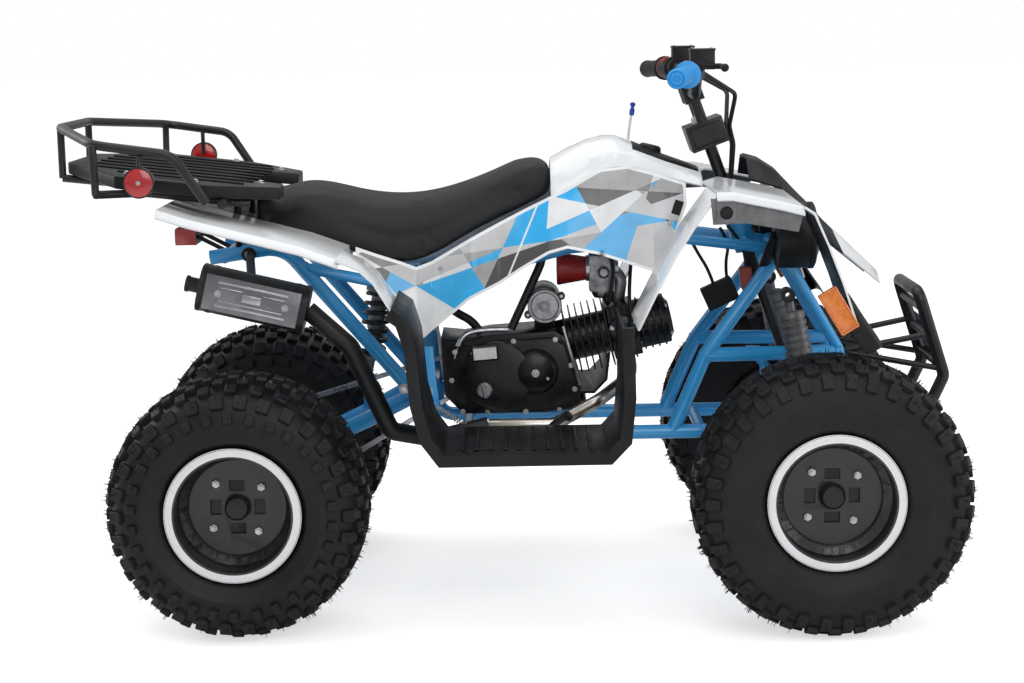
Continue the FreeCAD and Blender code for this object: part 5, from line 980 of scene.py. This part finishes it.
silencer_run = Vector((math.cos(silencer_turn), 0, -math.sin(silencer_turn)))
silencer_up = Vector((math.sin(silencer_turn), 0, math.cos(silencer_turn)))
silencer_front = at(124, -250, 556)


def on_silencer(back, side, up):
    """A place measured back from the silencer's front end, to the left and square to it."""
    return silencer_front - silencer_run * back * MM + Vector((0, side * MM, 0)) + silencer_up * up * MM


shield_face = -40.5
crease_face = -39.6
outlet_back = 214
band_backs = (4, 22, 168, 186)
band_size = (7 * MM, 75.6 * MM, 81.6 * MM)
band_corner = 27 * MM
band_inner_share = 0.95
band_work = bmesh.new()
bmesh.ops.create_cube(band_work, size=1)
bmesh.ops.scale(band_work, vec=band_size, verts=band_work.verts)
corner_edges = [edge for edge in band_work.edges
                if abs(edge.verts[0].co.x - edge.verts[1].co.x) > weld_gap]
bmesh.ops.bevel(band_work, geom=corner_edges, offset=band_corner, offset_type="OFFSET", segments=6,
                profile=0.5, affect="EDGES", material=-1)
band_work.normal_update()
bmesh.ops.delete(band_work, geom=[face for face in band_work.faces if abs(face.normal.x) > 0.5],
                 context="FACES_ONLY")
inner = bmesh.ops.extrude_face_region(band_work, geom=band_work.faces[:], use_keep_orig=True)["geom"]
bmesh.ops.scale(band_work, vec=(1, band_inner_share, band_inner_share),
                verts=[element for element in inner if isinstance(element, bmesh.types.BMVert)])
band = kept(band_work, "band")
silencer_lean = Matrix.Rotation(silencer_turn, 4, "Y")
bands_work = bmesh.new()
repeated(bands_work, band, [Matrix.Translation(on_silencer(back, 0, 0)) @ silencer_lean
                            for back in band_backs])
sharpened(piece_from(bands_work, "silencer_bands", exhaust_black))
turned_piece("outlet_lip", [(10, -4), (10, 1), (14.5, 1), (14.5, -4)], on_silencer(outlet_back, 0, 0),
             -silencer_run, exhaust_black)
bolts("shield_screws", [(on_silencer(back, shield_face, up), outward_right, 4.6)
                        for back, up in ((36, 0), (154, 0))])
crease_work = bmesh.new()
for back, up, length, tall in (
    (95, 20.5, 124, 5), (95, -20.5, 124, 5), (58, 11.5, 40, 3), (132, 11.5, 40, 3), (95, -12, 112, 3),
    (95, 1, 34, 15),
):
    crease = block((length * MM, 2.6 * MM, tall * MM), 1.2 * MM, 2)
    repeated(crease_work, crease, [Matrix.Translation(on_silencer(back, crease_face, up)) @ silencer_lean])
piece_from(crease_work, "shield_creases", shield_chrome)
turned_piece("silencer_mount", [(0.5, 12), (11, 12), (13, 9), (13, -4), (0.5, -4)], at(8, -116, 640),
             outward_right, panel_black, steps=28)
bolts("mount_bolt", [(at(8, -128, 640), outward_right, 5)])

# Shocks: at the back a black coil spring between two grey seats, in front a grey ribbed rubber sleeve
# over the spring, each on a grey rod with a black eye at both ends.

shock_grey = finish_of("shock_grey", (0.2, 0.2, 0.205), (0.13, 0.13, 0.135), rough=0.36, spread=0.15,
                       patch_scale=40, grain_scale=500, depth=0.1 * MM, metal=0.4)


def coil(work, foot, top, ring_radius, wire_radius, turns, steps=18):
    """A round wire wound evenly round the line from foot to top."""
    run = top - foot
    wire = bmesh.ops.create_circle(work, segments=8, radius=wire_radius * MM)
    bmesh.ops.transform(work, verts=wire["verts"], matrix=Matrix.Translation((ring_radius * MM, 0, 0))
                        @ Matrix.Rotation(math.pi / 2, 4, "X"))
    start = list(wire["verts"]) + list({edge for corner in wire["verts"] for edge in corner.link_edges})
    before = set(work.verts)
    count = int(turns * steps)
    wound = bmesh.ops.spin(work, geom=start, cent=(0, 0, 0), axis=(0, 0, 1),
                           dvec=(0, 0, run.length / count), angle=2 * math.pi * turns, steps=count)
    ends = [element for element in wound["geom_last"] if isinstance(element, bmesh.types.BMEdge)]
    bmesh.ops.contextual_create(work, geom=ends)
    bmesh.ops.contextual_create(work, geom=[element for element in start
                                            if isinstance(element, bmesh.types.BMEdge)])
    made = list(wire["verts"]) + [corner for corner in work.verts if corner not in before]
    bmesh.ops.transform(work, verts=made, matrix=Matrix.Translation(foot) @ facing(run))


rear_top = at(240, 0, 583)
rear_foot = at(205, 0, 392)
rear_run = (rear_foot - rear_top).normalized()
rear_coil = {"start": 32, "end": 150, "radius": 23, "wire": 4.2, "turns": 6.5}
spring_work = bmesh.new()
coil(spring_work, rear_top + rear_run * rear_coil["end"] * MM,
     rear_top + rear_run * rear_coil["start"] * MM, rear_coil["radius"], rear_coil["wire"],
     rear_coil["turns"])
rear_spring = piece_from(spring_work, "rear_spring", arm_black)
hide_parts("rear_shock")
turned_piece("rear_damper", [(0.5, 8), (9, 8), (9, 24), (27, 24), (27, 30), (15, 32), (15, 100),
                             (13, 102), (13, 148), (27, 150), (27, 156), (10, 160), (9, 186), (0.5, 186)],
             rear_top, rear_run, shock_grey)
for eye_name, eye_place in (("rear_shock_top_eye", rear_top), ("rear_shock_foot_eye", rear_foot)):
    turned_piece(eye_name, [(6, -13), (13, -13), (13, 13), (6, 13)], eye_place, outward_left, arm_black,
                 steps=28)

sleeve_ribs = 9
sleeve_pitch = 13
shock_reach = 58
shock_spread = 40
shock_drop = 304
rod_end = math.hypot(shock_reach, shock_spread, shock_drop) - 10
sleeve_profile = [(0.5, 10), (9, 10), (9, 30), (22, 32)]
for rib in range(sleeve_ribs):
    low = 36 + rib * sleeve_pitch
    sleeve_profile += [(24, low), (24, low + 8), (21.5, low + 9), (21.5, low + 12)]
sleeve_profile += [(23, 160), (12, 164), (11, 200), (11, rod_end), (0.5, rod_end)]
for side, side_name in both_sides:
    top = at(972, 136 * side, 552)
    foot = at(972 + shock_reach, (136 + shock_spread) * side, 552 - shock_drop)
    turned_piece(f"front_sleeve_{side_name}", sleeve_profile, top, foot - top, shock_grey)
    for eye_name, eye_place in (("top", top), ("foot", foot)):
        turned_piece(f"front_shock_{eye_name}_eye_{side_name}", [(5, -13), (13, -13), (13, 13), (5, 13)],
                     eye_place, outward_left, arm_black, steps=28)
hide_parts("front_shocks")

# Brake pedal: a forged black lever, pulled back by a fine bright spring hooked to the frame.

pedal_coil = {"radius": 5.5, "wire": 1.1, "turns": 15, "steps": 12}
pedal_spring_work = bmesh.new()
coil(pedal_spring_work, at(403, -136, 316), at(337, -128, 359), pedal_coil["radius"], pedal_coil["wire"],
     pedal_coil["turns"], pedal_coil["steps"])
piece_from(pedal_spring_work, "pedal_spring", nut_plate)
eased("brake_pedal", "lever", arm_black)

# Steering column, bar and controls: black tube, moulded switch boxes and levers with ball ends, lidded
# reservoirs, a box with a key switch on the column, ribbed rubber grips with a flange, one of them blue,
# and cables held along the column.

eased("steering_shaft", "steel", arm_black)
eased("handlebar", "tube", arm_black, 0.6 * MM)
eased("bar_controls", "mouldings", panel_black, 2 * MM)
eased("control_cables", "sleeve", hose_black, 0.3 * MM)
bar_grey = finish_of("bar_grey", (0.014, 0.014, 0.015), (0.024, 0.024, 0.025), rough=0.34, spread=0.12,
                     patch_scale=60, grain_scale=900, depth=0.1 * MM, shine=0.34)
grip_blue = finish_of("grip_blue", (0.03, 0.33, 0.76), (0.025, 0.28, 0.68), rough=0.42, spread=0.12,
                      patch_scale=40, grain_scale=800, depth=0.2 * MM)
switch_red = finish_of("switch_red", (0.5, 0.03, 0.02), (0.42, 0.02, 0.015), rough=0.32, spread=0.1,
                       patch_scale=50, grain_scale=600, depth=0.1 * MM)
grip_ribs = 14
grip_pitch = 7
grip_past_end = 10
collar_in = 112
grip_profile = [(0.5, 3), (5, 3), (6, 0), (10, 0), (11, 2), (12.5, 2), (13.5, 0), (15, 0), (17, 2),
                (17, 5)]
for rib in range(grip_ribs):
    low = 7 + rib * grip_pitch
    grip_profile += [(16, low), (16, low + 4), (14.6, low + 5), (14.6, low + 6)]
grip_profile += [(16, 107), (23, 110), (23.5, 115), (17, 118), (0.5, 118)]
for (side, side_name), grip_material in zip(both_sides, (grip_blue, panel_black)):
    bar_end = at(760, 364 * side, 946)
    inward = (at(808, 168 * side, 952) - bar_end).normalized()
    turned_piece(f"grip_{side_name}", grip_profile, bar_end - inward * grip_past_end * MM,
                              inward, grip_material, "steering")
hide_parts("grips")
turned_piece("stop_collar", [(17, 0), (20.5, 1), (20.5, 9), (17, 10)], bar_end + inward * collar_in * MM,
             inward, switch_red, "steering")
button_way = (-0.6, 0, 0.8)
column_lean = 19.6
reservoir_station = 814.6
reservoir_side = 204.5
for side, side_name in both_sides:
    slab(f"switch_button_{side_name}", (16, 9, 7), at(781, 222 * side, 966), button_way, 90, 2, switch_red,
         "steering")
    slab(f"switch_slide_{side_name}", (12, 7, 6), at(781, 238 * side, 965), button_way, 90, 1.5, bar_grey,
         "steering")
    slab(f"reservoir_lid_{side_name}", (45, 37, 4), at(reservoir_station, reservoir_side * side, 990.6),
         (0, 0, 1), 0, 1.5, bar_grey, "steering")
    slab(f"stem_box_lid_{side_name}", (58, 36, 5), at(839, 47 * side, 835.3), (0, side, 0),
         -column_lean * side, 3, bar_grey, "steering")
bolts("reservoir_screws", [(at(reservoir_station + ahead, reservoir_side * side, 992), (0, 0, 1), 2.4)
                           for side in (-1, 1) for ahead in (-16.6, 16.4)], "steering")
column_way = (-math.sin(math.radians(column_lean)), 0, math.cos(math.radians(column_lean)))
turned_piece("key_barrel", [(0.5, 14), (4, 14), (5, 12), (11, 12), (13, 8), (13, 0), (0.5, 0)],
             at(827, 0, 856), column_way, nut_plate, "steering", steps=24)

# Foot guards and the front mudguards: black moulded plastic with a stiff rolled edge, ribs across the
# floor, and a flexible flap that hangs from the front fender.

eased("foot_guards", "moulding", panel_black, 1.8 * MM)
rib_work = bmesh.new()
floor_rib = block((6 * MM, 190 * MM, 5 * MM), 1.5 * MM)
repeated(rib_work, floor_rib, [Matrix.Translation(at(station, 290 * side, 330))
                               for side in (-1, 1) for station in range(392, 620, 24)])
piece_from(rib_work, "guard_floor_ribs", panel_black, smooth=False)

flap_steps = [(1046, 586), (1062, 560), (1080, 532), (1096, 510), (1104, 496)]
flap_side = 262
flap_width = 124
flap_bow = (12, 10)
lip_side = 388
lip_reaches = (14, 34)
flap_thickness = 3 * MM
flap_work = bmesh.new()
for side in (-1, 1):
    station, height = flap_steps[0]
    line = [at(station - flap_bow[0] * (share - 0.5) ** 2, side * (flap_side + flap_width * share),
               height - flap_bow[1] * (share - 0.5) ** 2) for share in (0, 0.25, 0.5, 0.75, 1)]
    line += [at(station - reach, side * lip_side, height - reach / 2) for reach in lip_reaches]
    corners = [flap_work.verts.new(place) for place in line]
    edges = [flap_work.edges.new(pair) for pair in zip(corners, corners[1:])]
    for (station, height), (next_station, next_height) in zip(flap_steps, flap_steps[1:]):
        drawn = bmesh.ops.extrude_edge_only(flap_work, edges=edges)["geom"]
        corners = {element for element in drawn if isinstance(element, bmesh.types.BMVert)}
        edges = [element for element in drawn if isinstance(element, bmesh.types.BMEdge)
                 and corners.issuperset(element.verts)]
        bmesh.ops.translate(flap_work, verts=list(corners),
                            vec=((next_station - station) * MM, 0, (next_height - height) * MM))
bmesh.ops.recalc_face_normals(flap_work, faces=flap_work.faces)
bmesh.ops.solidify(flap_work, geom=flap_work.faces[:], thickness=flap_thickness)
flaps = piece_from(flap_work, "front_mud_flaps", panel_black)
flap_curve = flaps.modifiers.new("flap_curve", "SUBSURF")
flap_curve.levels = 2
flap_curve.render_levels = 2

# Lamps and reflectors: round headlamps with a bright bowl behind a domed clear lens, a ribbed red tail
# lamp on black stays, amber side markers with a raised rim, and round red reflectors on the rack.

lens_red = finish_of("lens_red", (0.5, 0.004, 0.006), (0.36, 0.003, 0.004), rough=0.1, spread=0.06,
                     patch_scale=50, grain_scale=260, depth=0.3 * MM, coat=1)
lens_amber = finish_of("lens_amber", (0.78, 0.22, 0.015), (0.62, 0.14, 0.01), rough=0.12, spread=0.06,
                       patch_scale=90, grain_scale=260, depth=0.3 * MM, coat=1)
lamp_bowl = finish_of("lamp_bowl", (0.8, 0.8, 0.82), (0.66, 0.66, 0.68), rough=0.12, spread=0.08,
                      patch_scale=40, grain_scale=300, depth=0.2 * MM, metal=1)
lens_clear = bpy.data.materials.new("lens_clear")
lens_clear.use_nodes = True
clear_tree = lens_clear.node_tree
clear_shader = clear_tree.nodes["Principled BSDF"]
for socket_name, value in (("Base Color", (0.95, 0.97, 1, 1)), ("Roughness", 0.04),
                           ("Transmission Weight", 0.92), ("IOR", 1.46)):
    clear_shader.inputs[socket_name].default_value = value
clear_flutes = clear_tree.nodes.new("ShaderNodeTexNoise")
clear_flutes.inputs["Scale"].default_value = 160
clear_place = clear_tree.nodes.new("ShaderNodeTexCoord")
clear_raised = clear_tree.nodes.new("ShaderNodeBump")
clear_raised.inputs["Distance"].default_value = 0.2 * MM
clear_tree.links.new(clear_place.outputs["Object"], clear_flutes.inputs["Vector"])
clear_tree.links.new(clear_flutes.outputs["Fac"], clear_raised.inputs["Height"])
clear_tree.links.new(clear_raised.outputs["Normal"], clear_shader.inputs["Normal"])
eased("headlamps", "housing", panel_black, 3 * MM)
for side, side_name in both_sides:
    lamp_face = at(1012, 150 * side, 660)
    turned_piece(f"headlamp_rim_{side_name}", [(50, -6), (50, 3), (54, 5), (59.5, 2), (59.5, -6)],
                 lamp_face, (1, 0, 0), panel_black)
    turned_piece(f"headlamp_bowl_{side_name}",
                 [(0.5, 0.6), (20, 0.8), (49, 3), (50, 3), (50, 0.3), (0.5, 0.3)], lamp_face, (1, 0, 0),
                 lamp_bowl)
    turned_piece(f"headlamp_lens_{side_name}", [(0.5, 17), (14, 16.4), (27, 14), (38, 10), (46, 6),
                                                (50, 3.4), (49, 2.4), (44, 5), (36, 8.6), (26, 12),
                                                (13, 14.4), (0.5, 15)], lamp_face, (1, 0, 0), lens_clear)
tail_lens = eased("tail_lamp", "lens", lens_red, 3 * MM)
tail_lens.data.materials.append(hose_black)
lens_back = -100
for face in tail_lens.data.polygons:
    if face.center.x > at(lens_back, 0, 0).x:
        face.material_index = 1
lamp_ribs = bmesh.new()
repeated(lamp_ribs, block((1.6 * MM, 2.4 * MM, 24 * MM), 0.6 * MM),
         [Matrix.Translation(at(-135.5, across, 666)) for across in range(-42, 43, 6)])
piece_from(lamp_ribs, "tail_lamp_ribs", lens_red, smooth=False)
eased("side_reflectors", "lens", lens_amber, 2 * MM)
amber_turn = Matrix.Rotation(math.radians(-31), 4, "Y")
amber_bars = [(0, 38, 34, 3), (0, -38, 34, 3), (-15.5, 0, 3, 78), (15.5, 0, 3, 78), (0, 0, 30, 2)]
for side, side_name in both_sides:
    frame_work = bmesh.new()
    for across, up, wide, tall in amber_bars:
        repeated(frame_work, block((wide * MM, 11 * MM, tall * MM), 0.7 * MM), [
            Matrix.Translation(at(1023, 396 * side, 558)) @ amber_turn
            @ Matrix.Translation((across * MM, 0, up * MM))])
    piece_from(frame_work, f"marker_frame_{side_name}", lens_amber, smooth=False)
eased("rack_reflectors", "disc", arm_black, 1.5 * MM)
disc_side = 363
for side, side_name in both_sides:
    for face_side in (-1, 1):
        facing_name = "out" if face_side == side else "in"
        turned_piece(f"reflector_lens_{side_name}_{facing_name}",
                     [(0.5, 3), (8, 3), (20, 2.2), (23.5, 0), (23.5, -0.4), (0.5, -0.4)],
                     at(-138, disc_side * side + 6 * face_side, 790), (0, face_side, 0), lens_red)
bolts("reflector_screws", [(at(-138, (disc_side + 9) * side, 790), (0, side, 0), 3) for side in (-1, 1)])

# Rack: bent black steel tube with a moulded plastic deck bolted on it. The deck slopes gently down to the
# seat and has low ribs along its slots.

eased("rack_rail", "tube", arm_black, 0.5 * MM)
eased("rack_deck", "moulding", panel_black, 3 * MM)
deck_rear = (-308, 812)
deck_front = (76, 766)
deck_slope = (deck_front[1] - deck_rear[1]) / (deck_front[0] - deck_rear[0])
deck_turn = Matrix.Rotation(-math.atan(deck_slope), 4, "Y")


def on_deck(station, side, up):
    """A place a little above the deck's sloping top."""
    return at(station, side, deck_rear[1] + deck_slope * (station - deck_rear[0]) + up)


deck_work = bmesh.new()
for across, length, middle in ((31, 300, -118), (93, 300, -118), (155, 280, -112), (217, 220, -92)):
    repeated(deck_work, block((length * MM, 5 * MM, 4 * MM), 1.2 * MM),
             [Matrix.Translation(on_deck(middle, across * side, 1.6)) @ deck_turn for side in (-1, 1)])
piece_from(deck_work, "rack_deck_ribs", panel_black, smooth=False)
bolts("rack_deck_bolts", [(on_deck(station, across * side, 1), (0.12, 0, 1), 5) for side in (-1, 1)
                          for station, across in ((-180, 240), (-60, 262), (40, 160))])

# Front bumper: one bent steel hoop with cross bars, painted black, and a plain bright sheet plate held
# across its bars by two bolts.

plate_silver = finish_of("plate_silver", (0.6, 0.61, 0.62), (0.48, 0.49, 0.5), rough=0.3, spread=0.12,
                         patch_scale=30, grain_scale=500, depth=0.04 * MM, metal=0.8)
eased("front_bumper", "tube", arm_black, 0.5 * MM)
eased("bumper_plate", "sheet", plate_silver)
plate_low, plate_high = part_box("bumper_plate")
plate_face = (plate_low + plate_high) / 2 + Vector((4 * MM, 0, 0))
plate_way = Vector((154, 0, 48)).normalized()
bolts("plate_bolts", [(plate_face + Vector((0, across * MM, 0)), plate_way, 4) for across in (-60, 60)])

# Final drive and rear brake: bright sprocket and disc cut from plate, and a roller chain of side plates
# and rollers that runs round the small sprocket at the engine.

bright_steel = finish_of("bright_steel", (0.62, 0.62, 0.64), (0.5, 0.5, 0.52), rough=0.24, spread=0.16,
                         patch_scale=40, grain_scale=700, depth=0.03 * MM, metal=1)
for plate_node in ["rear_sprocket", "rear_brake_disc"]:
    eased(plate_node, "plate", bright_steel, 0.4 * MM)
chain_pitch = 12.7 * MM
chain_side = 86
front_middle = at(385.4, chain_side, 392)
front_radius = 33.5 * MM
rear_middle = at(0, chain_side, 226)
rear_radius = 83.5 * MM
chain_run = front_middle - rear_middle
chain_slope = math.atan2(chain_run.z, chain_run.x)
chain_spread = math.acos((rear_radius - front_radius) / chain_run.length)
straight = math.sqrt(chain_run.length ** 2 - (rear_radius - front_radius) ** 2)
front_arc = 2 * chain_spread * front_radius
rear_arc = 2 * (math.pi - chain_spread) * rear_radius
loop_length = 2 * straight + front_arc + rear_arc
link_count = 2 * round(loop_length / chain_pitch / 2)


def outward_at(turn):
    """The direction at an angle up from straight ahead."""
    return Vector((math.cos(turn), 0, math.sin(turn)))


def along_chain(distance):
    """Where a link stands, and how it is turned, some way round the loop from the front's low side."""
    distance %= loop_length
    low = chain_slope - chain_spread
    high = chain_slope + chain_spread
    for middle, radius, arc, first, last in (
        (front_middle, front_radius, front_arc, low, high),
        (rear_middle, rear_radius, rear_arc, high, low),
    ):
        if distance < arc:
            turn = first + distance / radius
            return middle + outward_at(turn) * radius, turn + math.pi / 2
        distance -= arc
        if distance < straight or middle == rear_middle:
            way = last + math.pi / 2
            return middle + outward_at(last) * radius + outward_at(way) * distance, way
        distance -= straight


link_size = (17 * MM, 1.2 * MM, 9 * MM)
link_edge = 0.5 * MM
link_plate = block(link_size, link_edge)
plate_sides = (3.7 * MM, 2.4 * MM)
roller_radius = 3.6 * MM
roller_width = 8 * MM
roller_work = bmesh.new()
bmesh.ops.create_cone(roller_work, cap_ends=True, segments=10, radius1=roller_radius,
                      radius2=roller_radius, depth=roller_width)
bmesh.ops.rotate(roller_work, cent=(0, 0, 0), matrix=Matrix.Rotation(math.pi / 2, 3, "X"),
                 verts=roller_work.verts)
roller = kept(roller_work, "roller")
plate_spots = []
roller_spots = []
for link in range(link_count):
    spot, turn = along_chain((link + 0.5) * loop_length / link_count)
    for side in (-1, 1):
        beside = Vector((0, plate_sides[link % 2] * side, 0))
        plate_spots.append(Matrix.Translation(spot + beside) @ Matrix.Rotation(-turn, 4, "Y"))
    roller_spots.append(Matrix.Translation(along_chain(link * loop_length / link_count)[0]))
chain_work = bmesh.new()
repeated(chain_work, link_plate, plate_spots)
repeated(chain_work, roller, roller_spots)
chain = piece_from(chain_work, "chain_links", bright_steel, smooth=False)
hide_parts("drive_chain")

# Small trim: the tank's clear vent tube with its blue plug, the dark well and lid of the filler, and
# screws, vents and plugs in the panels.

plug_blue = finish_of("plug_blue", (0.01, 0.05, 0.4), (0.008, 0.04, 0.32), rough=0.3, spread=0.1,
                      patch_scale=80, grain_scale=600, depth=0.1 * MM)
vent_clear = finish_of("vent_clear", (0.72, 0.76, 0.82), (0.6, 0.66, 0.72), rough=0.16, spread=0.08,
                       patch_scale=60, grain_scale=500, depth=0.05 * MM, coat=0.5)
swept("vent_tube", [at(695, -30, 826), at(697, -31, 850), at(702, -32, 876)], 2.6, vent_clear)
turned_piece("vent_plug",
             [(0.5, 0), (4, 0), (4.6, 3), (4.6, 11), (3, 13), (3, 16), (5, 18), (5, 22), (0.5, 24)],
             at(702, -32, 872), (0.12, 0, 1), plug_blue, steps=20)
well_ends = (702, 822)
well_half = 50
well_lift = 0.8 * MM
well_thickness = 0.6 * MM
well_work = joined_copy("tank_cover")
walls = [face for face in well_work.faces if face.normal.z < 0.5]
bmesh.ops.delete(well_work, geom=walls, context="FACES")
for co, no in ((at(well_ends[0], 0, 0), (-1, 0, 0)), (at(well_ends[1], 0, 0), (1, 0, 0)),
               (at(0, -well_half, 0), (0, -1, 0)), (at(0, well_half, 0), (0, 1, 0))):
    cut_through(well_work, co, no, clear=True)
loose = [corner for corner in well_work.verts if not corner.link_faces]
bmesh.ops.delete(well_work, geom=loose, context="VERTS")
bmesh.ops.recalc_face_normals(well_work, faces=well_work.faces)
bmesh.ops.translate(well_work, vec=(0, 0, well_lift), verts=well_work.verts)
bmesh.ops.solidify(well_work, geom=well_work.faces[:], thickness=well_thickness)
piece_from(well_work, "filler_well", panel_black)
turned_piece("filler_lid", [(0.5, 14), (16, 14), (20, 11), (22, 2), (22, -6), (0.5, -6)], at(735, 0, 803),
             (0.25, 0, 1), panel_black)
bolts("panel_screws", [(at(station, across * side, height), (0, side, 0), radius) for side in (-1, 1)
                       for station, across, height, radius in ((763, 140, 684, 4), (352, 149, 612, 3.4))])
for side, side_name in both_sides:
    slab(f"panel_vent_{side_name}", (16, 26, 3), at(776, 139 * side, 712), (0, side, 0), -18, 1.2,
         panel_black)
    slab(f"fender_plug_pad_{side_name}", (34, 44, 3), at(838, 384 * side, 729), (0, side, 0), 0, 1.2,
         shock_grey)
    turned_piece(f"fender_plug_{side_name}", [(0.5, 4), (8, 4), (9, 2), (11, 0), (0.5, 0)],
                 at(838, 385.5 * side, 724), (0, side, 0), panel_black, steps=24)

# Regulator: a finned black box at the front of the frame, with three wires going up under the cowl.

box_lean = 24
slab("regulator_box", (60, 44, 26), at(858, -62, 547), outward_right, box_lean, 3, panel_black)
fins_place = Matrix.Translation(at(858, -77, 547)) @ Matrix.Rotation(math.radians(-box_lean), 4, "Y")
fin_work = bmesh.new()
repeated(fin_work, block((2.4 * MM, 8 * MM, 38 * MM), 0.6 * MM),
         [fins_place @ Matrix.Translation((across * MM, 0, 0)) for across in range(-24, 25, 8)])
piece_from(fin_work, "regulator_fins", panel_black, smooth=False)
for wire_index, wire_points in enumerate((
    [at(846, -62, 566), at(838, -64, 590), at(818, -70, 622), at(800, -76, 655)],
    [at(872, -60, 570), at(868, -60, 600), at(876, -66, 640), at(858, -70, 668)],
    [at(905, -76, 596), at(903, -74, 622), at(890, -72, 650), at(872, -70, 672)],
)):
    swept(f"box_wire_{wire_index}", wire_points, 3, hose_black)

# Fender shade plates: thin strips that close the front fender's side above the wheel, coloured grey as
# painted shade for the shadowed inside of the white fender.

fender_shade_outline = [(812, 748), (968, 728), (958, 690), (870, 706), (816, 704)]
fender_shade_side = 380
fender_shade_thickness = 2.5 * MM
fender_shade_work = bmesh.new()
for side in (-1, 1):
    fender_shade_work.faces.new([fender_shade_work.verts.new(at(station, fender_shade_side * side, height))
                          for station, height in fender_shade_outline])
bmesh.ops.recalc_face_normals(fender_shade_work, faces=fender_shade_work.faces)
bmesh.ops.solidify(fender_shade_work, geom=fender_shade_work.faces[:], thickness=fender_shade_thickness)
# The grey finish on these plates is painted shade: the inside of the white fender lies in shadow here.
piece_from(fender_shade_work, "fender_painted_shade", shock_grey, smooth=False)

# Ignition coil: a red moulded block on the frame, a little ahead of the regulator.

coil_red = finish_of("coil_red", (0.36, 0.05, 0.03), (0.28, 0.03, 0.02), rough=0.4, spread=0.1,
                     patch_scale=60, grain_scale=700, depth=0.1 * MM)
slab("ignition_coil", (22, 42, 24), at(905, -76, 576), outward_right, 8, 3, coil_red)
